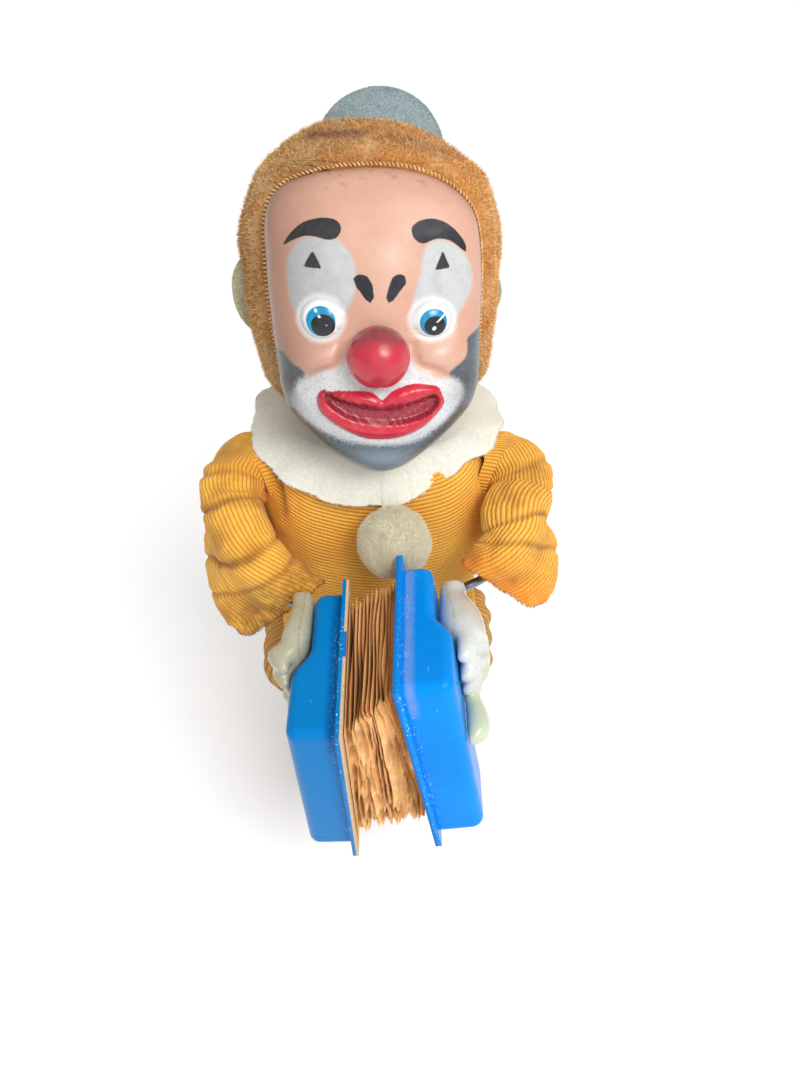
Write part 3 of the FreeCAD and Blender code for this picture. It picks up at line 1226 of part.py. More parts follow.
def make_collar():
    """Felt that lies flat round the neck, then drops over the chest and back in shallow folds."""
    inner, top = size.collar_inner.number, size.collar_top.number
    thick = size.felt_thick.number
    halves = []
    for start in (0, math.pi):
        sections = []
        for station in range(COLLAR_STATIONS + 1):
            angle = start + math.pi * station / COLLAR_STATIONS
            fold = math.cos(COLLAR_FOLDS * 2 * angle)
            bend = oval(angle, size.torso_wide.number / 2 - 2, size.torso_deep.number / 2 + 0.5)
            reach = oval(angle, size.collar_side.number, size.collar_front.number) + 0.9 * fold
            drop = size.collar_drop.number * math.sin(angle) ** 2 - 1.5 * math.cos(angle) ** 2
            if math.sin(angle) > 0:
                drop *= 0.75
            outward = Vector(math.cos(angle), math.sin(angle), 0)

            def corner(distance, height):
                return outward * distance + Vector(0, 0, height)

            corners = [corner(inner, top - thick), corner(inner, top), corner(bend, top - 0.3),
                       corner(reach, top - drop), corner(reach - 0.6 * thick, top - drop - thick),
                       corner(bend - 0.5 * thick, top - 0.3 - thick)]
            sections.append(Part.makePolygon(corners + corners[:1]))
        halves.append(loft(sections, True))
    return halves[0].fuse(halves[1])


# Arms: rod, sleeve and hand for each side

ARM_SIDES = (
    # side, label, cuff middle, cuff long axis, half thickness and half length of the cuff
    (1, "left", Vector(45.0, -45, 121.5), Vector(0.83, 0, -0.55), 7.6, 16.5),
    (-1, "right", Vector(-37.5, -47, 111.0), Vector(-0.70, 0, -0.71), 8.2, 18.3),
)


def eased(values, place):
    """A smooth curve through values at the whole numbers, read at place."""
    last = len(values) - 1
    start = min(int(place), last - 1)
    share = place - start
    before, one, two, after = (values[min(max(start + step, 0), last)] for step in (-1, 0, 1, 2))
    swing = one * 2 + (two - before) * share
    swing += (before * 2 - one * 5 + two * 4 - after) * share ** 2
    swing += (one * 3 - before - two * 3 + after) * share ** 3
    return swing * 0.5


SLEEVE_CREASE = Vector(40.3, -20.75, 0)
SHOULDER_RINGS = (
    # turn about the crease in degrees, half thickness, half height, level, lean of the height to the back
    (0, 14.5, 10.5, 146.2, 0.0), (25, 13.6, 11.4, 145.6, 0.1), (50, 12.4, 13.4, 144.0, 0.28),
    (72, 11.3, 15.6, 141.4, 0.5), (90, 10.6, 17.4, 138.4, 0.7),
)
SLEEVE_STATIONS = {
    # middle, half thickness, half height
    1: ((48.6, -26.5, 134.6, 10.4, 18.4), (47.4, -33, 128.8, 9.6, 16.6), (46.0, -39.5, 124.6, 9.6, 17.6)),
    -1: ((-49.4, -27, 132.4, 10.6, 18.2), (-46, -33.5, 126, 10.2, 17.2), (-42, -40, 118.6, 9.6, 17.8)),
}


def sleeve_rings(side, cuff, cuff_axis, cuff_short, cuff_long, trim):
    """Rings of a sleeve that turns about a crease at the shoulder and ends at its open cuff."""
    rings = []
    crease = Vector(side * SLEEVE_CREASE.x, SLEEVE_CREASE.y, 0)
    for turn, short, tall, level, lean in SHOULDER_RINGS:
        outward = Vector(side * math.sin(math.radians(turn)), math.cos(math.radians(turn)), 0)
        long_axis = Vector(0, lean, -1)
        long_axis = long_axis - outward * long_axis.dot(outward)
        long_axis.normalize()
        middle = crease + outward * short + Vector(0, 0, level)
        rings.append(ring(middle, outward, long_axis, short - trim, tall - trim,
                          min(short, tall) * 0.85 - trim))
    lean = long_axis
    middles, longs, halves = [middle], [lean], [Vector(short, tall, 0)]
    for number, (x, y, z, short, tall) in enumerate(SLEEVE_STATIONS[side]):
        share = (number + 1) / (len(SLEEVE_STATIONS[side]) + 1)
        middles.append(Vector(x, y, z))
        longs.append(lean * (1 - share) + cuff_axis * share)
        halves.append(Vector(short, tall, 0))
    middles.append(cuff)
    longs.append(cuff_axis)
    halves.append(Vector(cuff_short, cuff_long, 0))
    places = [step / 2 for step in range(2 * len(middles) - 1)]
    arm = route_rings([eased(middles, place) for place in places],
                      [eased(longs, place) for place in places],
                      [tuple(eased(halves, place))[:2] for place in places], trim)
    return rings + arm[1:]


def rod_route(side, label):
    """From the lever's face round the elbow and down into the wrist."""
    level = size.shoulder_z.number
    front = (LEVER_BACK - size.lever_thick - size.rod_radius).number
    start = Vector(side * (size.shoulder_x.number + 3.7), front, level)
    if label == "left":
        bends = [Vector(52, front - 0.1, 147.5), Vector(48, -36, 131), Vector(37.5, -44.8, 125),
                 Vector(28.4, -50, 124.6)]
    else:
        bends = [Vector(-52, front - 0.1, 147.5), Vector(-45, -37, 125), Vector(-34, -48, 117),
                 Vector(-26, -54, 121)]
    return [start] + bends + [HANDS[label]["wrist"]]


def make_arms():
    spine = Placement(Vector(0, size.spine_setback.number, 0), UPRIGHT)
    for side, label, cuff, cuff_axis, cuff_short, cuff_long in ARM_SIDES:
        route = rod_route(side, label)
        rod = wire_rod(route, size.rod_radius.number)
        keep(solid("rod_" + label, rod, spine), "arm_rod_" + label)
        outer = sleeve_rings(side, cuff, cuff_axis, cuff_short, cuff_long, 0.0)
        inner = sleeve_rings(side, cuff, cuff_axis, cuff_short, cuff_long, size.cuff_wall.number)
        sleeve = tube(outer, inner)
        keep(solid("cloth_" + label, sleeve, spine), "sleeve_" + label)


# Accordion: each tray is built in its own frame at the upper back corner of its flange

TRAYS = {
    "left": Placement(Vector(7.6, -48.4, 138.2), Rotation(-0.5, -10.7, -2.7)),
    "right": Placement(Vector(-9.5, -53.9, 132.8), Rotation(0.5, -1.6, 4.5)),
}
HANDS = {
    # sections: depth along the tray, drop from the wrist's level, half thickness, half height
    # fingers: reach of each finger from the index down; thumb: its end as depth, drop, reach outward
    "left": {"wrist": Vector(26.6, -56.5, 126.0),
             "sections": ((1.5, 0, 4.8, 5.0), (9, 0.5, 4.9, 6.0), (15, 1.5, 6.2, 9.0), (24, 3.0, 6.8, 12.0),
                          (31, 4.0, 5.4, 12.2)),
             "fingers": (40, 42.5, 42, 39), "thumb": (48, 15.5, 3.8)},
    "right": {"wrist": Vector(-24.3, -60.0, 124.5),
              "sections": ((1.5, 0, 3.9, 5.0), (9, 0.5, 3.7, 6.0), (16, 1.5, 4.2, 9.0), (24, 3.0, 4.2, 11.5),
                           (30, 4.0, 3.4, 11.5)),
              "fingers": (35, 36.5, 36, 34), "thumb": (34, 17.0, 2.6)},
}


def in_part(label):
    """A tray's place in the part's frame."""
    place = TRAYS[label]
    return Placement(place.Base + Vector(0, size.spine_setback.number, 0), place.Rotation)


STEP_BACK = 26
STEP_FRONT = 34


def tray_block(name, side, inset, open_side):
    """A tray's rounded form, thin at the back and thick at the front, inset by a wall."""
    lip = size.tray_lip + inset
    thin, thick = size.tray_thin - inset, size.tray_thick - inset
    long_end = size.tray_long - lip
    start = -open_side
    outline = ((side * start, -lip), (side * thin, -lip), (side * thin, -STEP_BACK),
               (side * thick, -STEP_FRONT), (side * thick, -long_end), (side * start, -long_end))
    tall = size.tray_tall - 2 * lip
    body = plate(name, outline, tall, lift=lip - size.tray_tall)

    def near(x, y):
        return lambda one, other: (is_upright(one, other) and abs(one.x - side * float(x)) < 0.01
                                   and abs(one.y + float(y)) < 0.01)

    round_edges(body, near(thin, STEP_BACK), 8)
    round_edges(body, near(thick, STEP_FRONT), 8)
    corner = 4 - inset
    round_edges(body, near(thin, lip), corner)
    round_edges(body, near(thick, long_end), corner)
    top, low = (-lip).number, (lip - size.tray_tall).number

    def rim(one, other):
        flat = abs(one.z - other.z) < 1e-4 and (abs(one.z - top) < 1e-3 or abs(one.z - low) < 1e-3)
        outside = max(abs(one.x), abs(other.x)) > abs(start) + 1
        return flat and outside

    round_edges(body, rim, corner * 0.8)
    return body


def make_accordion():
    for side, label in ((1, "left"), (-1, "right")):
        outer = tray_block("tray_outer_" + label, side, 0 * size.tray_wall, 0)
        inner = tray_block("tray_inner_" + label, side, size.tray_wall, 2)
        lip = size.tray_tall
        flange_outline = ((0, 0), (side * size.tray_wall, 0), (side * size.tray_wall, -size.tray_long),
                          (0, -size.tray_long))
        flange = plate("tray_flange_" + label, flange_outline, lip, lift=-size.tray_tall)
        shell = cut("tray_" + label, fuse("tray_mass_" + label, outer, flange), inner)
        shell.Placement = in_part(label)
        keep(shell, "accordion_shell_" + label)
        card_outline = ((0, 0), (-side * size.card_thick, 0), (-side * size.card_thick, -size.tray_long),
                        (0, -size.tray_long))
        card = plate("card_" + label, card_outline, size.tray_tall, lift=-size.tray_tall)
        card.Placement = in_part(label)
        keep(card, "end_card_" + label)
    keep(solid("bellows_paper", make_bellows()), "bellows")
    for side, label in ((1, "left"), (-1, "right")):
        keep(solid("hand_form_" + label, make_hand(side, label), in_part(label)), "hand_" + label)


def make_bellows():
    """A pleated paper tube from card to card, its folds fanned between the two trays."""
    gap = (size.card_thick + size.soft_gap).number
    margin = size.bellows_margin.number
    long_end, tall = size.tray_long.number - margin, (size.tray_tall - size.bellows_low).number
    ends = {}
    for side, label in ((1, "left"), (-1, "right")):
        corners = ((-margin, -margin), (-long_end, -margin), (-long_end, -tall), (-margin, -tall))
        ends[label] = [in_part(label).multVec(Vector(-side * gap, y, z)) for y, z in corners]
    folds = 2 * int(size.pleats.number)

    def sections(trim):
        wires = []
        for fold in range(folds + 1):
            share = fold / folds
            corners = [one + (other - one) * share for one, other in zip(ends["right"], ends["left"])]
            middle = (corners[0] + corners[1] + corners[2] + corners[3]) * 0.25
            inset = trim + (size.pleat_deep.number if fold % 2 else 0.0)
            across = corners[0] - corners[1]
            across.normalize()
            upward = corners[1] - corners[2]
            upward.normalize()
            moved = []
            for corner in corners:
                offset = corner - middle
                pull = across * (inset if offset.dot(across) > 0 else -inset)
                lift = upward * (inset if offset.dot(upward) > 0 else -inset)
                moved.append(corner - pull - lift)
            wires.append(Part.makePolygon(moved + moved[:1]))
        return wires

    return loft(sections(0.0), True).cut(loft(sections(size.paper_inset.number), True))


def tray_outside(depth):
    """How far a tray's outer face stands from its flange at a depth from its back edge."""
    thin, thick = size.tray_thin.number, size.tray_thick.number
    share = min(1.0, max(0.0, (depth - STEP_BACK + 3) / (STEP_FRONT - STEP_BACK + 5)))
    return thin + (thick - thin) * share * share * (3 - 2 * share)


def make_hand(side, label):
    """A moulded hand flat against the outside of its tray: wrist, palm, four fingers and thumb."""
    form = HANDS[label]
    wrist = TRAYS[label].inverse().multVec(form["wrist"])
    gap = size.soft_gap.number
    out, up = Vector(side, 0, 0), Vector(0, 0, 1)

    def section(depth, drop, half_thick, half_high, ahead=2):
        outside = tray_outside(depth + ahead) + gap + half_thick
        return ring(Vector(side * outside, -depth, wrist.z - drop), out, up,
                    half_thick, half_high, 0.9 * min(half_thick, half_high))

    hand = loft([section(*values) for values in form["sections"]])
    knuckle, knuckle_drop, _, palm_high = form["sections"][-1]
    finger = palm_high / 4
    for number, reach in enumerate(form["fingers"]):
        drop = knuckle_drop + (number - 1.5) * 2 * finger
        rings = [section(knuckle - 5, drop, finger + 0.1, finger + 0.1, 6),
                 section(knuckle + 1, drop, finger + 0.3, finger + 0.1, 4),
                 section(reach - 3, drop, finger - 0.2, finger - 0.2, 4),
                 section(reach, drop, finger * 0.5, finger * 0.5, 4)]
        hand = hand.fuse(loft(rings))
    end, end_drop, ball = form["thumb"]
    thumb = [section(knuckle - 8, end_drop - 4, ball * 0.8, ball * 0.8, 8),
             section((knuckle - 8 + end) / 2, end_drop - 1.5, ball * 0.62, ball * 0.62, 6),
             section(end - ball * 1.1, end_drop, ball, ball * 0.95, 4),
             section(end + ball * 0.5, end_drop, ball * 0.95, ball * 0.9, 4),
             section(end + ball * 1.5, end_drop, ball * 0.4, ball * 0.4, 4)]
    hand = hand.fuse(loft(thumb))
    rod = wire_rod(rod_route(side, label), size.rod_radius.number)
    rod.Placement = TRAYS[label].inverse()
    return hand.cut(rod)


def check_and_write():
    doc.recompute()
    faults = []
    for thing in doc.Objects:
        if "Invalid" in thing.State or "Error" in thing.State:
            faults.append("%s is %s" % (thing.Name, thing.State))
    for thing in kept:
        shape = thing.Shape
        if shape.isNull() or not shape.isValid() or not shape.Solids:
            faults.append("%s has no valid solid" % thing.Label)
    if faults:
        raise RuntimeError("; ".join(faults))
    os.makedirs("parts", exist_ok=True)
    for thing in kept:
        thing.Shape.exportStep("parts/%s.step" % thing.Label)
        print(thing.Label, len(thing.Shape.Solids), "%.1f mm3" % thing.Shape.Volume)
    bounds = FreeCAD.BoundBox()
    for thing in kept:
        bounds.add(thing.Shape.BoundBox)
    print("box", bounds)


make_legs()
make_body_shells()
make_frame()
make_mainspring()
make_train()
make_stop_lever()
make_key()
make_yoke()
make_levers()
make_neck()
make_head()
make_clothes()
make_arms()
make_accordion()
check_and_write()
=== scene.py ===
"""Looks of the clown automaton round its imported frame. Lengths are millimetres until a mesh is made."""
import json
import math

import bpy
import numpy as np
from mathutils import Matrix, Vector

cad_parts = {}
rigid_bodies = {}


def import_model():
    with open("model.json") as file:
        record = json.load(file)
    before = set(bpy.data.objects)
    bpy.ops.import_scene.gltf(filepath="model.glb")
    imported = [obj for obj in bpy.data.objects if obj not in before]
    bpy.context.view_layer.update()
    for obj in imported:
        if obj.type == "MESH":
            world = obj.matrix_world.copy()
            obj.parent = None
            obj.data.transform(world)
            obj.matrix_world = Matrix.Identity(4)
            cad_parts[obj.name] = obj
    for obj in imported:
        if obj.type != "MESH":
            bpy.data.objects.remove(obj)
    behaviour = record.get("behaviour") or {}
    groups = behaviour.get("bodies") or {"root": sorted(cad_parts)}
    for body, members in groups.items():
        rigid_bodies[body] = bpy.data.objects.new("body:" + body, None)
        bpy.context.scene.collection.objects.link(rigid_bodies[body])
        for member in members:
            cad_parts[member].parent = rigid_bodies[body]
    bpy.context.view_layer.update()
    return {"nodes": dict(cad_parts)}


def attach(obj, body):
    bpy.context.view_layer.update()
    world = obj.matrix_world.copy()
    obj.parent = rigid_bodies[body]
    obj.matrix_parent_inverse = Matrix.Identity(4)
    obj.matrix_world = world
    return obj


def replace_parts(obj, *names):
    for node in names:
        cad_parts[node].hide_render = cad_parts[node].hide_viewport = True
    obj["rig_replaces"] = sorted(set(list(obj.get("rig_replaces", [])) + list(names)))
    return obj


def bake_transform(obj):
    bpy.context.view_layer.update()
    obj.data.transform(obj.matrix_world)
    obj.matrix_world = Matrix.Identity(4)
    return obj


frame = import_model()

MM = 0.001
SETBACK = 27.8  # the spine behind the middle of the footprint
TILT, YAW = math.radians(19.3), math.radians(2.5)
CROWN, CHIN, HALF_FACE = 73.5, -16.0, 33.0
MIDDLE = (CROWN + CHIN) / 2
HEAD_PLACE = (0, SETBACK + 4, 166)
TRAYS = {
    # corner of each accordion tray, then its yaw, pitch and roll in degrees
    "left": ((7.6, -48.4 + SETBACK, 138.2), (-0.5, -10.7, -2.7)),
    "right": ((-9.5, -53.9 + SETBACK, 132.8), (0.5, -1.6, 4.5)),
}
SIDES = {"left": 1, "right": -1}
TRAY_LONG, TRAY_TALL = 59, 75


# Camera at the photograph's place: close in front, 40 degrees down

camera = bpy.data.objects.new("camera", bpy.data.cameras.new("camera"))
camera.data.sensor_width = 36
camera.data.lens = 36 * 800 / 1066
camera.data.clip_start, camera.data.clip_end = 0.01, 100
camera.location = (0.008, -0.2172, 0.313)
camera.rotation_euler = (math.radians(50), 0, 0)
bpy.context.scene.collection.objects.link(camera)
bpy.context.scene.camera = camera


# Places

def spin(axis, angle):
    """The matrix of a turn about x (0), y (1) or z (2)."""
    one, other = (axis + 1) % 3, (axis + 2) % 3
    matrix = np.eye(3)
    matrix[one, one] = matrix[other, other] = math.cos(angle)
    matrix[other, one], matrix[one, other] = math.sin(angle), -math.sin(angle)
    return matrix


def turned(points, matrix, origin):
    return np.asarray(points, float) @ matrix.T + np.asarray(origin, float)


def from_head(points):
    return turned(points, spin(2, YAW) @ spin(0, -TILT), HEAD_PLACE)


def from_spine(points):
    return np.asarray(points, float) + (0, SETBACK, 0)


def from_tray(points, label):
    origin, turns = TRAYS[label]
    yaw, pitch, roll = (math.radians(turn) for turn in turns)
    return turned(points, spin(2, yaw) @ spin(1, pitch) @ spin(0, roll), origin)


# Numbers

def step(low, high, value):
    t = np.clip((np.asarray(value, float) - low) / (high - low), 0, 1)
    return t * t * (3 - 2 * t)


def lattice(cells, seed):
    n = cells[:, 0] * 73856093 ^ cells[:, 1] * 19349663 ^ cells[:, 2] * 83492791 ^ seed * 2654435761
    n = (n ^ (n >> 13)) * 1274126177 & 0xFFFFFFFF
    n = (n ^ (n >> 16)) * 668265263 & 0xFFFFFFFF
    return ((n >> 8) & 0xFFFF) / 32767.5 - 1


def noise(points, size, seed=0):
    """Smooth noise from -1 to 1 with features about size across."""
    p = np.asarray(points, float) / size
    low = np.floor(p).astype(np.int64)
    f = p - low
    f = f * f * (3 - 2 * f)
    total = np.zeros(len(p))
    for corner in range(8):
        offset = np.array([corner & 1, corner >> 1 & 1, corner >> 2 & 1])
        weight = np.prod(np.where(offset, f, 1 - f), axis=1)
        total += weight * lattice(low + offset, seed)
    return total


def wobble(points, sizes, seeds, amount):
    """Small noise in all three directions, to add to points."""
    return amount * np.stack([noise(points, size, seed) for size, seed in zip(sizes, seeds)], 1)


def unit(vectors):
    return vectors / np.maximum(np.linalg.norm(vectors, axis=-1, keepdims=True), 1e-9)


def run_along(points):
    """The length of a path up to each of its points."""
    return np.concatenate([[0], np.cumsum(np.linalg.norm(np.diff(points, axis=0), axis=1))])


def resampled(points, count):
    """Points evenly spread along a path of short straight runs."""
    run = run_along(points)
    even = np.linspace(0, run[-1], count)
    return np.stack([np.interp(even, run, column) for column in points.T], 1)


def curve_through(points, count):
    """Points evenly spread along a Catmull-Rom curve through the given ones."""
    p = np.asarray(points, float)
    p = np.vstack([2 * p[0] - p[1], p, 2 * p[-1] - p[-2]])
    t = np.linspace(0, len(p) - 3, 40 * (len(p) - 3) + 1)
    i = np.minimum(t.astype(int), len(p) - 4)
    s = (t - i)[:, None]
    a, b, c, d = p[i], p[i + 1], p[i + 2], p[i + 3]
    q = 2 * b + (c - a) * s + (2 * a - 5 * b + 4 * c - d) * s ** 2 + (3 * b - a - 3 * c + d) * s ** 3
    return resampled(0.5 * q, count)


def rounded(outline, rounds=2):
    """A closed outline with its corners cut smooth."""
    p = np.asarray(outline, float)
    for _ in range(rounds):
        following = np.roll(p, -1, axis=0)
        p = np.stack([0.75 * p + 0.25 * following, 0.25 * p + 0.75 * following], 1).reshape(-1, 2)
    return p


def nearest_on(x, z, ax, az, bx, bz):
    """Squared distance of points from the straight line between two others."""
    dx, dz = bx - ax, bz - az
    t = np.clip(((x - ax) * dx + (z - az) * dz) / max(dx * dx + dz * dz, 1e-12), 0, 1)
    return (x - ax - t * dx) ** 2 + (z - az - t * dz) ** 2


def depth_inside(x, z, outline):
    """How far a point lies inside a closed outline; negative outside."""
    best = np.full(x.shape, 1e9)
    inside = np.zeros(x.shape, bool)
    for (ax, az), (bx, bz) in zip(outline, np.roll(outline, -1, axis=0)):
        best = np.minimum(best, nearest_on(x, z, ax, az, bx, bz))
        if az != bz:
            inside ^= ((az > z) != (bz > z)) & (x < (z - az) * (bx - ax) / (bz - az) + ax)
    return np.where(inside, 1, -1) * np.sqrt(best)


def near_line(x, z, points, width):
    """1 on a curve through points, falling to 0 beside it."""
    line = curve_through(points, 40)
    best = np.full(x.shape, 1e9)
    for one, other in zip(line[:-1], line[1:]):
        best = np.minimum(best, nearest_on(x, z, *one, *other))
    return np.exp(-best / width ** 2)


def bell(value, width):
    """1 where a value is 0, falling to 0 on both sides."""
    return np.exp(-(value / width) ** 2)


def hump(x, z, at_x, at_z, wide, tall):
    return bell(x - at_x, wide) * bell(z - at_z, tall)


def dome(x, z, at_x, at_z, wide, tall):
    return np.sqrt(np.maximum(1 - ((x - at_x) / wide) ** 2 - ((z - at_z) / tall) ** 2, 0))


def box_ring(angle, half_x, half_y, corner):
    """Reach of a rounded rectangle from its middle in each direction."""
    c, s = np.abs(np.cos(angle)), np.abs(np.sin(angle))
    px, py = half_x - corner, half_y - corner
    on_side = half_x * s <= py * c
    on_end = half_y * c <= px * s
    along = px * c + py * s
    bend = along + np.sqrt(np.maximum(along ** 2 - px ** 2 - py ** 2 + corner ** 2, 0))
    return np.where(on_side, half_x / np.maximum(c, 1e-9),
                    np.where(on_end, half_y / np.maximum(s, 1e-9), bend))


# Meshes

def grid(rows, columns, closed=False, start=0):
    r = np.arange(rows - 1)[:, None]
    c = np.arange(columns if closed else columns - 1)[None, :]
    right = (c + 1) % columns
    quads = np.stack([r * columns + c, r * columns + right, (r + 1) * columns + right, (r + 1) * columns + c],
                     -1)
    return quads.reshape(-1, 4) + start


def belt(one, other, count):
    """Quads between two closed rings of points, given by their first points."""
    first = np.arange(count)
    after = (first + 1) % count
    return np.stack([one + first, one + after, other + after, other + first], 1)


def fan(ring, hub, count):
    """Triangles from a closed ring of points to one point."""
    first = np.arange(count)
    return np.stack([ring + first, ring + (first + 1) % count, np.full(count, hub)], 1)


def rows_of(x, y, z):
    """Points in rows, from coordinates that may repeat along a row or down a column."""
    return np.stack(np.broadcast_arrays(x, y, z), -1).reshape(-1, 3).astype(float)


def round_angles(count, start=0.0):
    return np.linspace(start, start + 2 * np.pi, count, endpoint=False)


def surface_normals(points, rows, columns, closed=False, away=None):
    """Normals of a grid of points, turned to the side that away points to."""
    p = points.reshape(rows, columns, 3)
    du = np.gradient(p, axis=0)
    dv = (np.roll(p, -1, 1) - np.roll(p, 1, 1)) / 2 if closed else np.gradient(p, axis=1)
    normals = unit(np.cross(dv, du)).reshape(-1, 3)
    if away is None:
        return normals
    return np.where(np.sum(normals * away, axis=1, keepdims=True) < 0, -normals, normals)


def make_piece(name, points, faces, material, values=None, smooth=True):
    """A mesh object from points in millimetres in the part's frame."""
    groups = faces if isinstance(faces, list) else [faces]
    loops = np.concatenate([g.ravel() for g in groups]).astype(np.int32)
    sizes = np.concatenate([np.full(len(g), g.shape[1]) for g in groups])
    starts = np.concatenate([[0], np.cumsum(sizes)[:-1]]).astype(np.int32)
    mesh = bpy.data.meshes.new(name)
    mesh.vertices.add(len(points))
    mesh.vertices.foreach_set("co", (np.asarray(points) * MM).astype(np.float32).ravel())
    mesh.loops.add(len(loops))
    mesh.loops.foreach_set("vertex_index", loops)
    mesh.polygons.add(len(sizes))
    mesh.polygons.foreach_set("loop_start", starts)
    mesh.update(calc_edges=True)
    mesh.validate()
    mesh.polygons.foreach_set("use_smooth", np.full(len(mesh.polygons), smooth))
    for label, numbers in (values or {}).items():
        layer = mesh.attributes.new(label, "FLOAT", "POINT")
        layer.data.foreach_set("value", np.asarray(numbers, np.float32))
    mesh.materials.append(material)
    piece = bpy.data.objects.new(name, mesh)
    bpy.context.scene.collection.objects.link(piece)
    return piece


def scatter(points, faces, count, seed):
    """Random places on quads or triangles, with their normals."""
    rng = np.random.default_rng(seed)
    p = np.asarray(points)
    tris = np.vstack([faces[:, [0, 1, 2]], faces[:, [0, 2, 3]]]) if faces.shape[1] == 4 else faces
    a, b, c = p[tris[:, 0]], p[tris[:, 1]], p[tris[:, 2]]
    normal = np.cross(b - a, c - a)
    area = np.linalg.norm(normal, axis=1)
    chosen = rng.choice(len(tris), count, p=area / area.sum())
    u, v = rng.random((2, count))
    flip = u + v > 1
    u, v = np.where(flip, 1 - u, u), np.where(flip, 1 - v, v)
    a, b, c = a[chosen], b[chosen], c[chosen]
    where = a + (b - a) * u[:, None] + (c - a) * v[:, None]
    return where, normal[chosen] / np.maximum(area[chosen], 1e-12)[:, None]


def strands(roots, directions, long, wide, lean, seed, start=0):
    """One thin triangle for each hair: its points, its faces, 1 at its tip, and a shade of its own."""
    rng = np.random.default_rng(seed)
    count = len(roots)
    direction = unit(directions + lean * rng.normal(size=(count, 3)))
    side = unit(np.cross(direction, rng.normal(size=(count, 3))))
    reach = (np.asarray(long) * rng.uniform(0.6, 1.15, count))[:, None]
    points = np.stack([roots - side * wide / 2, roots + side * wide / 2, roots + direction * reach], 1)
    faces = np.arange(3 * count).reshape(-1, 3) + start
    return points.reshape(-1, 3), faces, np.tile([0.0, 0.0, 1.0], count), np.repeat(rng.random(count), 3)


def fray(path, count, long, seed, start, outward):
    """Loose thread ends that stand out of a cut edge."""
    rng = np.random.default_rng(seed)
    picked = rng.integers(0, len(path), count)
    roots = path[picked] + rng.normal(size=(count, 3)) * 0.15
    return strands(roots, outward[picked], long, 0.2, 0.5, seed + 1, start)[:2]


# Materials

def linear(*srgb):
    """A colour written as its 0 to 255 screen values."""
    parts = [c / 255 for c in srgb]
    return tuple(c / 12.92 if c <= 0.04045 else ((c + 0.055) / 1.055) ** 2.4 for c in parts) + (1.0,)


class Finish:
    """A node material with short names for the nodes it uses."""

    def __init__(self, name, **settings):
        self.material = bpy.data.materials.new(name)
        self.material.use_nodes = True
        self.tree = self.material.node_tree
        self.shader = self.tree.nodes["Principled BSDF"]
        for key, value in settings.items():
            self.shader.inputs[key.replace("_", " ")].default_value = value

    def add(self, kind, inputs=(), **settings):
        node = self.tree.nodes.new("ShaderNode" + kind)
        for key, value in settings.items():
            setattr(node, key, value)
        for key, value in dict(inputs).items():
            self.feed(node.inputs[key], value)
        return node

    def feed(self, socket, value):
        if isinstance(value, bpy.types.NodeSocket):
            self.tree.links.new(value, socket)
        else:
            socket.default_value = value

    def place(self):
        return self.add("TexCoord").outputs["Object"]

    def stretched(self, scale):
        return self.add("Mapping", {"Vector": self.place(), "Scale": scale}).outputs["Vector"]

    def noise(self, scale, detail=3.0, rough=0.55, vector=None, bend=0.0):
        node = self.add("TexNoise", {"Scale": scale, "Detail": detail, "Roughness": rough, "Distortion": bend,
                                     "Vector": vector or self.place()})
        return node.outputs["Fac"]

    def value(self, name):
        return self.add("Attribute", attribute_name=name).outputs["Fac"]

    def math(self, operation, one, other=0.0, clamp=False):
        return self.add("Math", {0: one, 1: other}, operation=operation, use_clamp=clamp).outputs[0]

    def product(self, *values):
        total = values[0]
        for value in values[1:]:
            total = self.math("MULTIPLY", total, value)
        return total

    def plus(self, one, other, share=1.0):
        """One value plus a share of another."""
        return self.math("ADD", one, other if share == 1.0 else self.product(other, share))

    def swing(self, noise, amount):
        """A noise moved to swing round zero."""
        return self.product(self.math("SUBTRACT", noise, 0.5), amount)

    def between(self, value, low, high, to_low=0.0, to_high=1.0):
        node = self.add("MapRange", {"Value": value, "From Min": low, "From Max": high,
                                     "To Min": to_low, "To Max": to_high}, interpolation_type="SMOOTHSTEP")
        return node.outputs["Result"]

    def mix(self, share, one, other):
        node = self.add("Mix", {0: share, 6: one, 7: other}, data_type="RGBA")
        return node.outputs[2]

    def mottled(self, noise, one, other, low=0.3, high=0.7):
        """Two colours that follow a noise."""
        return self.mix(self.between(noise, low, high), linear(*one), linear(*other))

    def spots(self, tint, colour, noise, low, high, strength=1.0):
        """A colour laid over the tint where a noise is high."""
        return self.mix(self.between(noise, low, high, 0.0, strength), tint, linear(*colour))

    def stained(self, tint, colour, name, strength=1.0):
        """A colour laid over the tint where the value called name is high."""
        return self.mix(self.product(self.value(name), strength), tint, linear(*colour))

    def bump(self, height, distance, strength=1.0):
        return self.add("Bump", {"Height": height, "Distance": distance * MM,
                                 "Strength": strength}).outputs["Normal"]

    def set(self, **sockets):
        for key, value in sockets.items():
            self.feed(self.shader.inputs[key.replace("_", " ")], value)
        return self.material


def plain_finish(name, colour, rough, dirt=None, metal=0.0, mottle=0.08, grain=500, depth=0.02,
                 stretch=(1, 1, 1), coat=0.0):
    """A solid finish with mottled colour, fine grain and a little grime."""
    f = Finish(name, Metallic=metal, Coat_Weight=coat, Coat_Roughness=0.12)
    vector = f.stretched(stretch)
    broad, fine = f.noise(60.0, 4.0, vector=vector), f.noise(grain, 3.0, vector=vector)
    light = linear(*colour)
    dark = tuple(c * (1 - 2.2 * mottle) for c in light[:3]) + (1.0,)
    tint = f.mix(f.between(broad, 0.3, 0.7), light, dark)
    if dirt:
        tint = f.spots(tint, dirt, f.noise(38.0, 6.0, 0.7), 0.56, 0.72, 0.75)
    roughness = f.math("ADD", f.swing(fine, 0.3), rough, clamp=True)
    return f.set(Base_Color=tint, Roughness=roughness, Normal=f.bump(fine, depth, 0.6))


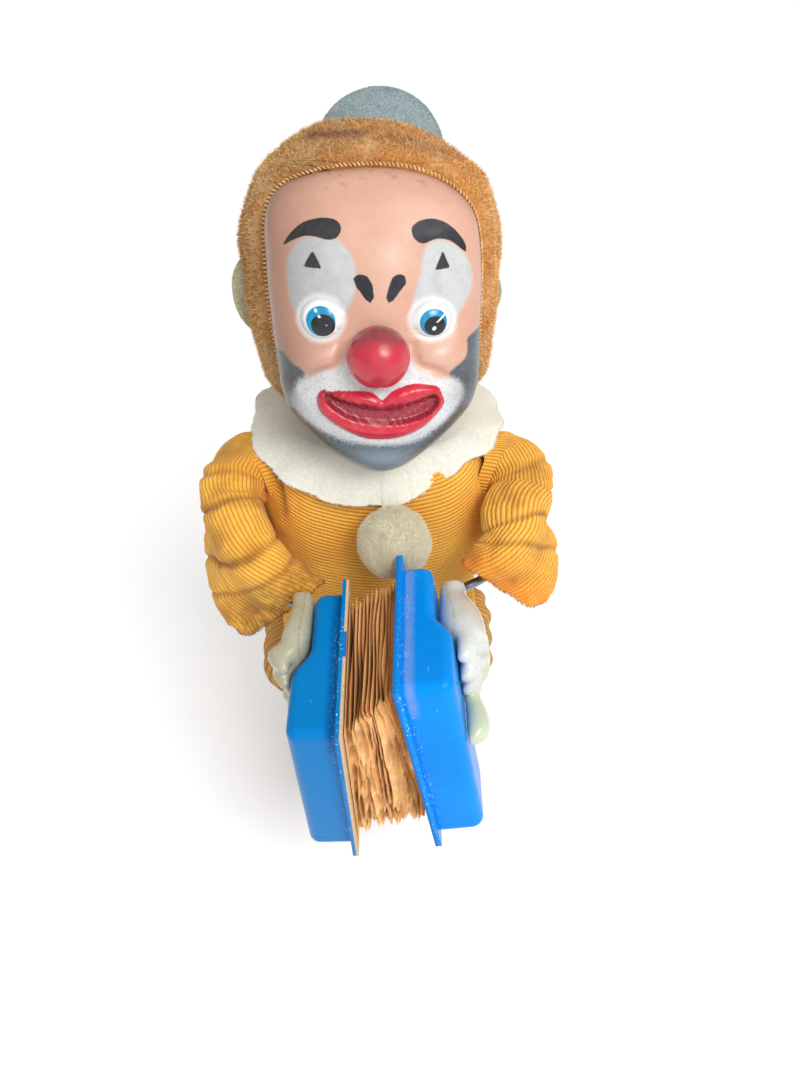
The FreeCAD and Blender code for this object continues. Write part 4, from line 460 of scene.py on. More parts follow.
# Face: relief and paint, drawn in the head's own frame seen from the front (x, z)

BROWS = (
    ((-25.8, 52.9), (-24.6, 54.5), (-23, 56.4), (-20.4, 58.5), (-17.9, 59.4), (-15, 59.9), (-12.2, 59.7),
     (-10.2, 59), (-9.3, 57.7), (-9.3, 56.6), (-10, 55.3), (-11.2, 54.4), (-13.2, 54.3), (-15.2, 54.9),
     (-17.2, 55.4), (-19.3, 55.5), (-21.3, 55), (-23.4, 54.2)),
    ((9.9, 57.1), (10, 55.6), (10.8, 54.1), (12.2, 53.1), (13.7, 53.1), (14.9, 53.6), (16.5, 54.2),
     (18.6, 54.2), (20.7, 53.7), (22.8, 52.3), (24.3, 51.1), (25.3, 50.5), (25.2, 52.3), (24.2, 54),
     (22.5, 56), (20.4, 57.7), (18.3, 58.7), (15.8, 59.3), (13.4, 59.1), (11.3, 58.4)),
)
WEDGES = (((-17.4, 51.6), (-20.1, 47.4), (-15.2, 46.8)), ((18.5, 50.8), (16.4, 46), (20.5, 46.5)))
TEARS = (
    ((-6.3, 43.3), (-5.9, 44.3), (-4.7, 44.8), (-3.3, 44.7), (-2.3, 43.8), (-1.5, 42.4), (-1, 40.5),
     (-1.2, 38.5), (-2.1, 37.3), (-2.9, 38.2), (-3.6, 40.1), (-4.8, 41.7), (-6, 42.3)),
    ((8, 43.6), (7.6, 44.4), (6.2, 44.8), (5, 44.3), (4.2, 43.1), (3.9, 41.6), (3.1, 40.4), (2.9, 38.8),
     (3.5, 37.3), (4.3, 38), (4.7, 39.6), (6, 40.6), (7.4, 41.7), (7.9, 42.7)),
)
PATCHES = (
    ((-20.5, 54.8), (-16.8, 55.3), (-13.2, 54.3), (-10.4, 54.4), (-8.8, 52.9), (-6.9, 50.6), (-5.8, 47.9),
     (-5.5, 44.8), (-6, 41), (-7.4, 37.8), (-9.1, 34.7), (-11.3, 31.6), (-20.5, 30.8), (-23.2, 34.8),
     (-24.7, 38.3), (-25, 43.4), (-25, 47.7), (-24, 50.7), (-22.4, 53.2)),
    ((14.9, 53.4), (18.6, 54.1), (22.8, 51.9), (25.4, 49.6), (27.2, 46), (27.4, 42.5), (26.3, 39),
     (25, 36.2), (22.8, 33.2), (21.1, 30), (11.8, 30.3), (10.2, 33.6), (9.8, 36.8), (10.7, 39.9),
     (11.5, 43), (12.4, 46.1), (12.8, 49.1), (13.6, 51.8)),
)
LIPS = ((-16.5, 13.7), (-18.2, 12), (-18.4, 9.1), (-17.6, 6.5), (-14.3, 3.4), (-10, 0.6), (-4.9, -1.8),
        (0.8, -2.2), (6.5, -1.6), (11.8, 0.5), (16.1, 3.9), (19.4, 8.2), (19.1, 10), (18, 12.7), (17.3, 13.8),
        (14.8, 14.3), (10.5, 15), (7.5, 14.4), (4, 13), (1.9, 11.1), (0.7, 10.2), (-0.3, 11.2), (-1.9, 12.7),
        (-4.5, 13.2), (-8.7, 13.1), (-12.1, 13.3), (-14.2, 12.8))
MOUTH = ((-16, 13.4), (-13.1, 12.1), (-8.8, 10.5), (-3.7, 9.1), (1, 8.4), (6.1, 8.8), (11.7, 10.4),
         (16.5, 12.1),
         (18.3, 10), (17, 6.6), (12.6, 4.1), (8.2, 2.9), (3, 2.4), (-2.6, 2.8), (-7.3, 3.8), (-11.6, 5.8),
         (-14.9, 8.3), (-16.3, 10.9))
MUZZLE = ((-26, 12.2), (-24, 16.3), (-20, 17.7), (-15.6, 19), (-11.8, 19.8), (-9.2, 22.3), (-6.5, 27),
          (6.8, 27), (9.2, 21.9), (10.9, 19), (14.3, 17.6), (18.2, 16.1), (22.1, 16.3), (25.1, 13.8),
          (25.5, 11.1), (25.1, 9.4), (22.4, 5.1), (18.5, 1.3), (13.6, -2.6), (8.3, -4.4), (1.6, -4.6),
          (-5, -4.2), (-11.1, -3), (-15.8, -1), (-20.1, 1.7), (-24.3, 5.1), (-27.5, 9.2))
CHEEKS = ((-40, 24), (-28.5, 23.3), (-27.1, 21.5), (-25.3, 19.7), (-22.7, 18.5), (-22.6, 16.4), (-24.6, 14.1),
          (-26.5, 11.3), (-27.5, 9.2), (-24.3, 5.1), (-20.1, 1.7), (-15.8, -1), (-11.1, -3), (-5, -4.2),
          (1.6, -4.6), (8.3, -4.4), (13.6, -2.6), (18.5, 1.3), (22.4, 5.1), (25.1, 9.4), (25.4, 12.9),
          (24.4, 14.8), (21.7, 16.8), (23, 17.9), (25.7, 19.8), (27, 21.4), (27.4, 24.3), (27.1, 27),
          (40, 32), (40, 90), (-40, 90))
EYES = (
    # white, iris and pupil, each as middle x, middle z, half width, half height; then the glint's x, z
    ((-15.9, 33.5, 5.5, 5.3), (-16, 32.8, 4.15, 4.2), (-15.4, 31.7, 3.4, 3.1), (-14.8, 31.7, 0.42, 0.42),
     (-17.9, 36.9), (-16.4, 34)),
    ((15.7, 32.7, 5.35, 4.8), (15.9, 31.9, 3.95, 3.75), (16.3, 30.9, 3.1, 2.75), (16, 30.2, 0.62, 0.62),
     (17.1, 32), (19.2, 34.1)),
)


def through_three(one, two, three, count=24):
    """Points along the circle through three points."""
    (ax, ay), (bx, by), (cx, cy) = one, two, three
    d = 2 * (ax * (by - cy) + bx * (cy - ay) + cx * (ay - by))
    ux = ((ax ** 2 + ay ** 2) * (by - cy) + (bx ** 2 + by ** 2) * (cy - ay)
          + (cx ** 2 + cy ** 2) * (ay - by)) / d
    uy = ((ax ** 2 + ay ** 2) * (cx - bx) + (bx ** 2 + by ** 2) * (ax - cx)
          + (cx ** 2 + cy ** 2) * (bx - ax)) / d
    angles = np.unwrap([math.atan2(ay - uy, ax - ux), math.atan2(by - uy, bx - ux),
                        math.atan2(cy - uy, cx - ux)])
    sweep = np.interp(np.linspace(0, 2, count), (0, 1, 2), angles)
    radius = math.hypot(ax - ux, ay - uy)
    return np.stack([ux + radius * np.cos(sweep), uy + radius * np.sin(sweep)], 1)


def face_outline():
    h, crown, chin = HALF_FACE, CROWN, CHIN
    side = (((0.79 * h, crown - 5), (0.94 * h, crown - 14), (h, crown - 27)),
            ((h, crown - 27), (0.98 * h, crown - 49), (0.88 * h, chin + 20)),
            ((0.88 * h, chin + 20), (0.7 * h, chin + 9.5), (0.44 * h, chin + 3)))
    arcs = [through_three((-0.79 * h, crown - 5), (0, crown), (0.79 * h, crown - 5))]
    arcs += [through_three(*arc) for arc in side]
    arcs.append(through_three((0.44 * h, chin + 3), (0, chin), (-0.44 * h, chin + 3)))
    arcs += [through_three(*[(-x, z) for x, z in reversed(arc)]) for arc in reversed(side)]
    return np.vstack(arcs)


EDGE = (
    # the face's edge as it shows, from the crown down the clown's left side and up the right side
    (0, 73.5), (9, 72.9), (17, 70.8), (22.6, 67.8), (27, 64.2), (29.6, 60), (30.8, 54), (31.4, 46.5),
    (31.4, 38),
    (31.3, 31), (31.2, 24.5), (31.2, 18), (31, 13), (30, 8), (28.4, 5), (26.7, 2.7), (24.3, 0), (22, -2.4),
    (19.5, -5), (16.5, -7.5), (13.2, -10.1), (9.6, -12.7), (6, -14.8), (1.2, -16), (-4.2, -15.2),
    (-8.8, -12.9),
    (-13.2, -10.1), (-16.7, -7.5), (-19.6, -5), (-21.9, -2.4), (-24.2, 0), (-26.2, 2.7), (-27.9, 5), (-29, 8),
    (-30.1, 13), (-30.4, 18), (-31, 24.5), (-31.6, 31), (-31.9, 38), (-32.1, 46.5), (-32.1, 54),
    (-31.8, 59.5),
    (-30.5, 64.6), (-27.4, 68.2), (-23.7, 70.3), (-16, 72.3), (-8, 73.3),
)
OUTLINE = rounded(EDGE, 3)


def reach_of(outline):
    """A function that tells how far an outline is from the face's middle in a direction."""
    angles = np.arctan2(outline[:, 1] - MIDDLE, outline[:, 0])
    order = np.argsort(angles)
    reach = np.hypot(outline[:, 0], outline[:, 1] - MIDDLE)
    return lambda angle: np.interp((angle + np.pi) % (2 * np.pi) - np.pi, angles[order], reach[order],
                                   period=2 * np.pi)


outline_reach, plain_reach = reach_of(OUTLINE), reach_of(face_outline())


def past_edge(points):
    """How far points lie outside the face's edge, seen from the front."""
    x, z = points[:, 0], points[:, 2] - MIDDLE
    return np.hypot(x, z) - outline_reach(np.arctan2(z, x))


LOWER_LIP = ((-16.6, 8.3), (-14.2, 5.2), (-9.1, 2.4), (-4, 0.8), (1.7, 0.3), (7.4, 0.9), (12.2, 2.8),
             (16.1, 5.7))
UPPER_LIP = ((-14.3, 12), (-10.5, 11.2), (-5.4, 10.2), (-0.3, 9.6), (4, 10.6), (8.3, 12), (13.5, 13.1),
             (16.9, 13.2))
UNDER_LIP = ((-14, -1.2), (-6, -4.5), (1, -5.4), (8, -4.6), (15, -1))
MOUTH_CORNER = ((-16.2, 13), (-13, 11.1), (-8.8, 9.2), (-3.7, 8.3))
MOUTH_TOP = ((1, 8.2), (6, 8.9), (12, 10.6), (17, 12))
MASK = (
    # share of the way to the face's edge, depth
    (0.004, -50.7), (0.22, -50.6), (0.42, -50.1), (0.68, -48.6), (0.87, -45.4), (0.965, -41.2), (1.0, -35),
    (1.0, -31),
)


def face_relief(x, z, lips, mouth):
    """How far the moulded features stand out from the plain mask."""
    out = 1.3 * hump(x, z, 2, 60, 24, 13) + 1.3 * hump(x, z, 2, 47, 9, 7)
    for side, eye in zip((-1, 1), EYES):
        eye_x, eye_z, wide, tall = eye[0]
        out -= 1.1 * hump(x, z, eye_x, eye_z, 9.5, 8.5)
        out += 2.7 * dome(x, z, eye_x, eye_z, wide + 0.3, tall + 0.3) ** 1.5
        out += 0.7 * hump(x, z, side * 17, 55.5, 10, 4)
        out += 2.6 * hump(x, z, side * 18.5, 22.5, 8, 5.2)
        fold = ((side * 9.5, 25.5), (side * 11.5, 20.2), (side * 17, 18), (side * 22.5, 14))
        out -= 1.1 * near_line(x, z, fold, 1.5)
        out += 1.5 * hump(x, z, side * 23.5, 11.5, 3.2, 4.2)
    out += 1.8 * hump(x, z, 0.5, 31, 6.5, 9)
    out += 2.2 * hump(x, z, 0.5, 9, 20, 9)
    out += 1.7 * step(-0.3, 1.4, lips)
    out -= 3.0 * step(0.0, 1.3, mouth)
    out += 0.5 * near_line(x, z, LOWER_LIP, 0.8)
    out += 0.5 * near_line(x, z, UPPER_LIP, 0.8)
    out += 1.6 * hump(x, z, 1, -11, 11, 5)
    out -= 0.7 * near_line(x, z, UNDER_LIP, 1.6)
    return out


def face_finish():
    f = Finish("face_paint", Coat_Weight=0.12, Coat_Roughness=0.25)
    fine, speck = f.noise(2600.0, 2.0, 0.6), f.noise(1500.0, 3.0, 0.75)
    broad, grime = f.noise(70.0, 4.0), f.noise(240.0, 6.0, 0.75)

    def area(name, soft, ragged=0.0, shift=0.0):
        """Where a painted area is, with its edge soft or broken into specks."""
        depth = f.value(name)
        if ragged:
            depth = f.plus(depth, f.swing(speck, ragged))
        return f.between(depth, shift - soft, shift + soft)

    tint = f.mottled(broad, (217, 167, 145), (209, 159, 136), 0.3, 0.75)
    tint = f.stained(tint, (172, 126, 102), "shade", 0.7)
    # lighter skin on the brow and the right cheek: painted highlight
    tint = f.stained(tint, (228, 190, 168), "blush", 0.5)
    smudge = f.product(f.value("smudge"), f.between(f.noise(330.0, 5.0, 0.75), 0.52, 0.66))
    tint = f.mix(smudge, tint, linear(176, 126, 116))
    grey = f.mottled(grime, (204, 208, 208), (184, 188, 188), 0.3, 0.75)
    # the grey eye patches darker on the viewer's left: painted shade
    grey = f.stained(grey, (132, 138, 138), "dim", 0.35)
    tint = f.mix(f.product(area("patch", 0.9, 0.8), 0.96), tint, grey)
    tint = f.mix(f.product(area("halo", 0.9, 1.8), 0.8), tint, linear(232, 234, 234))
    dark = f.mottled(f.noise(900.0, 4.0, 0.7), (76, 86, 92), (94, 106, 114), 0.45, 0.68)
    dark = f.stained(dark, (142, 162, 174), "chin_light", 0.7)
    tint = f.mix(area("beard", 0.5, 1.0, -1.2), tint, dark)
    white = f.mottled(speck, (224, 227, 227), (190, 194, 194), 0.42, 0.72)
    tint = f.mix(f.product(area("muzzle", 1.1, 5.0, 0.2), 0.97), tint, white)
    red = f.mottled(f.noise(330.0, 5.0, 0.7), (204, 30, 52), (216, 56, 78), 0.4, 0.7)
    red = f.spots(red, (240, 170, 160), f.noise(640.0, 5.0, 0.8), 0.64, 0.7, 0.55)
    tint = f.mix(area("lips", 0.16, 0.5), tint, red)
    deep = f.mottled(speck, (140, 30, 48), (188, 58, 76), 0.45, 0.62)
    deep = f.spots(deep, (226, 150, 140), fine, 0.62, 0.7, 0.7)
    tint = f.mix(area("mouth", 0.45, 0.6), tint, deep)
    # dark red under the upper lip and at the mouth's corners: painted shadow of the lip
    tint = f.stained(tint, (92, 28, 36), "cleft", 0.75)
    black = f.mottled(f.noise(420.0, 4.0), (16, 18, 24), (32, 36, 44), 0.35, 0.7)
    black = f.spots(black, (150, 140, 132), fine, 0.7, 0.74, 0.8)
    for name, wider in (("brow", 0.1), ("wedge", 0.1), ("tear", 0.4)):
        tint = f.mix(area(name, 0.16, 0.4, -wider), tint, black)
    tint = f.mix(area("eye_white", 0.1), tint, linear(240, 243, 244))
    tint = f.stained(tint, (150, 150, 146), "eye_rim", 0.25)
    tint = f.mix(area("iris", 0.1), tint, f.mottled(f.noise(600.0), (6, 138, 184), (20, 154, 200)))
    tint = f.mix(area("pupil", 0.1), tint, linear(26, 28, 32))
    tint = f.mix(area("glint", 0.08), tint, linear(236, 240, 238))
    # the whole face darker on the viewer's left and at a spot on each side of the muzzle: painted shade
    tint = f.stained(tint, (64, 54, 46), "dim", 0.3)
    tint = f.spots(tint, (226, 206, 190), f.noise(1100.0, 6.0, 0.8), 0.7, 0.76, 0.5)
    painted = f.math("MAXIMUM", area("muzzle", 1.1), area("patch", 0.4))
    rough = f.between(painted, 0.0, 1.0, 0.3, 0.5)
    for name, value in (("brow", 0.6), ("lips", 0.22), ("eye_white", 0.15)):
        rough = f.mix(area(name, 0.2), rough, (value, value, value, 1))
    f.feed(f.shader.inputs["Roughness"], f.plus(rough, f.swing(fine, 0.2)))
    return f.set(Base_Color=tint, Normal=f.bump(f.plus(speck, broad, 0.6), 0.05, 0.7))


def inside_eyes(x, z, part):
    """How far points lie inside the nearer eye's white, iris, pupil or glint."""
    best = np.full(x.shape, -1e9)
    for eye in EYES:
        eye_x, eye_z, wide, tall = eye[part]
        best = np.maximum(best, (1 - np.hypot((x - eye_x) / wide, (z - eye_z) / tall)) * min(wide, tall))
    return best


def face_areas(x, z, share):
    """The painted areas, by their depth, and the soft masks, among them painted shade and a painted
    highlight.
    """
    def pair(outlines, rounds):
        return np.maximum(*[depth_inside(x, z, rounded(outline, rounds)) for outline in outlines])

    white, iris, pupil, glint = (inside_eyes(x, z, part) for part in range(4))
    streak = np.maximum(*[near_line(x, z, eye[4:], 0.3) for eye in EYES])
    corners = near_line(x, z, MOUTH_CORNER, 0.45) + 0.6 * near_line(x, z, MOUTH_TOP, 0.35)
    return {
        "brow": pair(BROWS, 1), "wedge": pair(WEDGES, 0), "tear": pair(TEARS, 2), "patch": pair(PATCHES, 2),
        "lips": depth_inside(x, z, rounded(LIPS, 1)), "mouth": depth_inside(x, z, rounded(MOUTH)),
        "muzzle": depth_inside(x, z, rounded(MUZZLE)), "beard": -depth_inside(x, z, rounded(CHEEKS, 1)),
        "eye_white": white, "halo": white + 1.5, "iris": iris, "pupil": pupil,
        "glint": np.maximum(glint, 0.5 * streak - 0.25),
        "eye_rim": step(0.9, 0.1, np.abs(white)) * step(-1.2, 0.1, white),
        # painted highlight on the brow and on the right cheek
        "blush": hump(x, z, 3, 47, 9, 7) + hump(x, z, 17, 22, 7, 4),
        "shade": np.clip(step(-12, -33, x) * 0.8 + step(0.9, 1.02, share) * 0.6, 0, 1),
        # painted shade: the viewer's left side except the eye whites, and a spot on each side of the muzzle
        "dim": (step(-4, -30, x) * (1 - step(0.1, 0.6, white)) + 1.4 * hump(x, z, 25, 12, 4, 5)
                + 1.5 * hump(x, z, -28, 14, 4, 8)),
        "smudge": 0.7 * step(66, 71, z) + 0.15,
        "chin_light": hump(x, z, 1, -10, 12, 4),
        "cleft": np.clip(corners, 0, 1),
    }


def make_face():
    around, rings, rim_depth = 520, 150, -31.0
    profile = curve_through(MASK, rings)
    angle = round_angles(around, -np.pi)
    reach = outline_reach(angle)
    share, depth = profile[:, :1], profile[:, 1:]
    inner = share * reach / plain_reach(angle)
    inner = inner + (share - inner) * step(0.78, 1.0, share)
    depth = depth + np.interp(inner, *profile.T) - np.interp(share, *profile.T)
    x, y, z = rows_of(share * reach * np.cos(angle), np.minimum(depth, rim_depth),
                      MIDDLE + share * reach * np.sin(angle)).T
    shares = np.repeat(share[:, 0], around)
    areas = face_areas(x, z, shares)
    relief = face_relief(x, z, areas["lips"], areas["mouth"]) * step(1.0, 0.86, shares)
    points = np.stack([x, y - relief, z], 1)
    points += wobble(points, (7, 9, 8), (3, 4, 5), 0.12)
    hub, back, start = len(points), (rings - 1) * around, len(points) + 1
    outside = np.full(1, -9.0)
    at_hub = face_relief(np.zeros(1), np.full(1, MIDDLE), outside, outside)[0]
    edge = points[back:] * (0.965, 1, 0.965)
    points = np.vstack([points, [0, MASK[0][1] - at_hub, MIDDLE], edge + (0, 0.1, 0.035 * MIDDLE),
                        edge + (0, -3, 0.035 * MIDDLE)])
    areas = {name: np.concatenate([depths, depths[:1], np.full(2 * around, depths.min())])
             for name, depths in areas.items()}
    faces = [grid(rings, around, True), fan(0, hub, around)[:, ::-1], belt(back, start, around),
             grid(2, around, True, start)]
    piece = make_piece("face_mask", from_head(points), faces, face_finish(), areas)
    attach(piece, "head")
    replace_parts(piece, "face")


make_face()


def nose_finish():
    f = Finish("nose_red", Coat_Weight=0.5, Coat_Roughness=0.22)
    broad = f.noise(170.0, 4.0)
    red = f.mottled(broad, (208, 40, 62), (186, 32, 52))
    grime = f.product(f.value("root"), f.between(f.noise(420.0, 6.0, 0.75), 0.26, 0.56))
    red = f.mix(f.product(f.math("MINIMUM", grime, 1.0), 0.85), red, linear(104, 60, 60))
    red = f.spots(red, (240, 140, 130), f.noise(260.0, 5.0, 0.65), 0.66, 0.69, 0.8)
    red = f.spots(red, (236, 176, 170), f.noise(1500.0, 3.0, 0.7), 0.7, 0.74, 0.8)
    return f.set(Base_Color=red, Roughness=f.between(broad, 0.3, 0.7, 0.24, 0.4),
                 Normal=f.bump(f.noise(800.0), 0.05, 0.5))


def make_nose():
    """A ball with a slightly flattened root ring, scuffed below and grimy above."""
    around, rings, ball = 120, 90, 8.75
    polar = np.linspace(0.001, math.pi, rings)[:, None]
    angle = round_angles(around)
    radius = ball - 0.35 * bell(polar - 2.05, 0.07) + 0.5 * step(2.0, 2.6, polar)
    points = rows_of(1.03 * radius * np.sin(polar) * np.cos(angle), -1.05 * radius * np.cos(polar),
                     radius * np.sin(polar) * np.sin(angle))
    points += wobble(points, (4, 4, 4), (11, 12, 13), 0.1)
    root = step(1.55, 2.2, np.repeat(polar[:, 0], around)) + step(1.5, 7.5, points[:, 2]) * 0.95
    hub = len(points)
    points = np.vstack([points, [0, -1.05 * ball, 0]])
    faces = [grid(rings, around, True)[:, ::-1], fan(0, hub, around)]
    piece = make_piece("nose_ball", from_head(points + (0, -55, 23)), faces, nose_finish(),
                       {"root": np.append(root, 0)})
    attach(piece, "head")
    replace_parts(piece, "nose")


make_nose()


# Hood of short plush, open at the face and the neck

HOOD_LEVELS = (
    # height, middle of y, half width, half depth, corner
    (-9, -5, 25, 29, 23), (4, -5, 31.6, 34, 28), (12, -4.5, 35.2, 36.5, 31), (19, -4, 37.8, 38, 33),
    (28, -4, 39.9, 39, 33.5), (37, -4, 41, 39.5, 34), (53, -4, 42, 39.5, 34),
    (62, -4, 40.5, 38, 33), (71, -4, 36.5, 35, 30), (79, -4, 30, 29.5, 26), (84.5, -4, 22.5, 23.5, 20.5),
    (87, -4, 15.5, 17, 14), (87.6, -4, 6, 6, 5),
)
HOOD_CURVE = curve_through(HOOD_LEVELS, 400)
HOOD_LOW, HOOD_TOP, HOOD_CENTRE = -3, 87.6, np.array([0, -4, 30])


def hood_section(height):
    """Middle, half width, half depth and corner of the hood's outline at a height."""
    return [np.interp(height, HOOD_CURVE[:, 0], HOOD_CURVE[:, k]) for k in range(1, 5)]


def hood_rows(heights, columns):
    """Each row runs from the face's edge on one side round the back to the other edge."""
    edges = [OUTLINE[side * OUTLINE[:, 0] > 0] * (side, 1) for side in (1, -1)]
    edges = [edge[np.argsort(edge[:, 1])] for edge in edges]
    angles = np.linspace(-np.pi / 2, 3 * np.pi / 2, 2001)
    rows = []
    for height in heights:
        middle, half_x, half_y, corner = hood_section(height)
        gaps = [np.interp(height, edge[:, 1], edge[:, 0], right=0) + 0.7 if height < CROWN + 0.8 else 0.02
                for edge in edges]
        reach = box_ring(angles, half_x, half_y, corner)
        x, y = reach * np.cos(angles), middle + reach * np.sin(angles)
        path = np.stack([x, y, np.full(x.shape, height)], 1)
        rows.append(resampled(path[~((x < gaps[0]) & (x > -gaps[1]) & (y < middle))], columns))
    return np.vstack(rows)


def shape_hood(points, rows, columns):
    """Lifts the hood's lower ends, pulls it in on the clown's left and rolls its edge round the face."""
    low = step(20, HOOD_LOW, points[:, 2])
    for lift, near, far in ((10, 2, -24), (4.5, -8, 14)):
        points[:, 2] += low * lift * step(near, far, points[:, 1]) * (1 - (points[:, 2] - HOOD_LOW) / 46)
    points[:, 2] -= 3.4 * step(0, 24, points[:, 0]) * step(66, 84, points[:, 2])
    radial = np.hypot(points[:, 0], points[:, 2] - MIDDLE)
    narrow = step(8, 30, points[:, 2]) * step(82, 62, points[:, 2]) * (points[:, 0] > 0)
    points[:, 0] -= 1.7 * narrow * step(33, 37, points[:, 0])
    edge = outline_reach(np.arctan2(points[:, 2] - MIDDLE, points[:, 0]))
    beside = np.where((points[:, 1] < -6) & (points[:, 2] > 0), radial - edge, 12)
    roll = 1.6 * bell(beside - 3.5, 3.2) - 2.2 * bell(beside - 0.2, 1.1)
    lumps = (0.7 * noise(points, 11, 21) + 0.35 * noise(points, 4.5, 22)) * step(0.5, 4, beside)
    normal = surface_normals(points, rows, columns, away=points - HOOD_CENTRE)
    outer = points + normal * (roll + lumps)[:, None]
    inner = outer - normal * 2.2
    return outer, np.where((np.abs(inner[:, 0]) < 2.3)[:, None], inner * (0, 1, 1), inner)


def hood_faces(rows, low_rows, columns):
    """Outside, lining and the walls between them; above the face both ends of a row are one."""
    start = rows * columns
    weld = np.arange(2 * start).reshape(-1, columns)
    for first in (0, rows):
        weld[first + low_rows:first + rows, -1] = weld[first + low_rows:first + rows, 0]
    outer, lining = (weld.ravel()[grid(rows, columns, start=at)] for at in (0, start))
    left = np.arange(low_rows + 1) * columns
    right, base = left + columns - 1, np.arange(columns)
    walls = [np.stack([edge[:-1], edge[1:], start + edge[1:], start + edge[:-1]], 1)
             for edge in (left, right, base)]
    return [outer, lining[:, ::-1], walls[0], walls[1][:, ::-1], walls[2]]


def plush_hair(points, faces):
    roots, _ = scatter(points, faces, 78000, 31)
    toward = unit((roots - HOOD_CENTRE) * (1, 0.8, 1))
    keep = (past_edge(roots) > 0.5) | (roots[:, 1] > -14)
    roots, toward = roots[keep], toward[keep]
    comb = np.stack([0.25 * noise(roots, 14, 34), np.full(len(roots), 0.1),
                     -0.25 + 0.3 * noise(roots, 16, 35)], 1)
    return strands(roots, toward + comb, 1.7 + 0.4 * noise(roots, 9, 33), 0.23, 0.62, 36, 2 * len(points))


def plush_stain_and_hat_shadow(x, y, z):
    """Brown marks: a stain at the back of the clown's left, and a dark band under the hat's front edge, which
    is painted shadow of the hat.
    """
    under_hat = z + 3.4 * step(0, 24, x) - 82.5
    band = 0.95 * bell(under_hat, 1.5) * step(-23, -17, x) * step(2, -5, x)
    band += 0.4 * bell(under_hat + 1, 2.4) * step(-3, 6, x) * step(34, 22, x)
    return hump(x, z, 33, 66, 7, 6) * step(-12, 6, y) + band * step(-2, -8, y)


def plush_finish():
    f = Finish("plush_pile", Sheen_Weight=0.18, Sheen_Roughness=0.5, Roughness=0.9)
    # dark at the hairs' roots and bright at their tips: painted shade down in the pile and painted highlight
    # on the tips, with each hair's own random tone; lit makes both lighter on the right side: painted light
    deep = f.mix(f.value("lit"), linear(150, 92, 34), linear(190, 114, 40))
    bright = f.mix(f.value("lit"), linear(244, 200, 124), linear(255, 212, 134))
    along = f.plus(f.product(f.value("tip"), 0.6), f.value("shade"), 0.85)
    tint = f.mix(f.between(along, 0.2, 1.1), deep, bright)
    tint = f.spots(tint, (232, 204, 158), f.noise(80.0, 4.0, 0.65), 0.42, 0.72, 0.45)
    tint = f.spots(tint, (190, 120, 54), f.noise(55.0, 5.0, 0.7), 0.55, 0.75, 0.3)
    tint = f.stained(tint, (214, 160, 96), "selvage", 0.4)
    # a brown stain at the back and painted shadow under the hat's front edge
    tint = f.stained(tint, (112, 52, 26), "stain", 0.75)
    return f.set(Base_Color=tint, Normal=f.bump(f.noise(1500.0, 3.0, 0.7), 0.25, 0.8))


def make_hood():
    columns, ease_rows = 240, 100
    ease = 1 - np.sin(np.linspace(0, np.pi / 2, ease_rows))
    low = np.concatenate([np.linspace(HOOD_LOW, 40, 50, endpoint=False), CROWN + 0.8 - 34.3 * ease])
    heights = np.append(low, np.linspace(CROWN + 1.1, HOOD_TOP, 60))
    outer, inner = shape_hood(hood_rows(heights, columns), len(heights), columns)
    faces = hood_faces(len(heights), len(low), columns)
    hair, hair_quads, tips, shade = plush_hair(outer, faces[0])
    points = np.vstack([outer, inner, hair])
    solid = np.zeros(2 * len(outer))
    values = {"tip": np.append(solid, tips), "shade": np.append(solid + 0.5, shade),
              "stain": plush_stain_and_hat_shadow(*points.T), "selvage": bell(past_edge(points), 1.2) * (points[:, 1] < -10),
              "lit": step(-26, 26, points[:, 0])}
    piece = make_piece("hood_plush", from_head(points), faces + [hair_quads], plush_finish(), values)
    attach(piece, "head")
    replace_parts(piece, "hood")


make_hood()


def hood_front(x, z):
    """How far forward the hood's front lies beside a point of the face's edge."""
    middle, half_x, half_y, corner = hood_section(min(z, CROWN))
    from_corner = max(min(abs(x) + 0.8, half_x - 0.5) - (half_x - corner), 0) / corner
    return middle - (half_y - corner) - corner * math.sqrt(max(0.0, 1 - from_corner ** 2))


def make_stitches():
    """The knitted selvage that binds the plush round the face, as a row of small slanted loops."""
    upper = OUTLINE[OUTLINE[:, 1] > 6]
    path = upper[np.argsort(np.arctan2(upper[:, 0], upper[:, 1] - MIDDLE))]
    run = run_along(path)
    count, around, along = int(run[-1] / 1.2), 8, 10
    t = np.linspace(-1, 1, along)[:, None]
    thick = 0.3 * np.sqrt(np.maximum(1 - t ** 2 * 0.96, 0.02))
    turn = np.linspace(0, 2 * np.pi, around, endpoint=False)[None, :, None]
    rng = np.random.default_rng(41)
    points, faces = [], []
    for number in range(count):
        at = run[-1] * (number + 0.5) / count
        x, z = np.interp(at, run, path[:, 0]), np.interp(at, run, path[:, 1])
        out = unit(np.array([x, 0, z - MIDDLE]))
        tangent = np.array([-out[2], 0, out[0]])
        base = np.array([x, hood_front(x, z) - 0.3, z]) + out * 0.6
        slope = tangent * 0.6 + out * (0.62 + 0.25 * rng.random()) + (0, 0.9, 0)
        spine = base + slope * t * 0.8 + np.array([0, -1, 0]) * (0.35 * (1 - t ** 2))
        side = unit(np.cross(unit(slope), (0, 1, 0)))
        up = np.cross(side, unit(slope))
        tube = spine[:, None, :] + thick[:, None, :] * (np.cos(turn) * side + np.sin(turn) * up)
        faces.append(grid(along, around, True, start=number * along * around))
        points.append(tube.reshape(-1, 3))
    f = Finish("selvage_thread", Roughness=0.85, Sheen_Weight=0.3)
    tint = f.mottled(f.noise(500.0, 3.0), (240, 200, 140), (206, 152, 88), 0.35, 0.65)
    f.set(Base_Color=tint, Normal=f.bump(f.noise(2400.0, 2.0), 0.08, 0.6))
    piece = make_piece("hood_selvage", from_head(np.vstack(points)), np.vstack(faces), f.material)
    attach(piece, "head")


make_stitches()


# Hat and ears

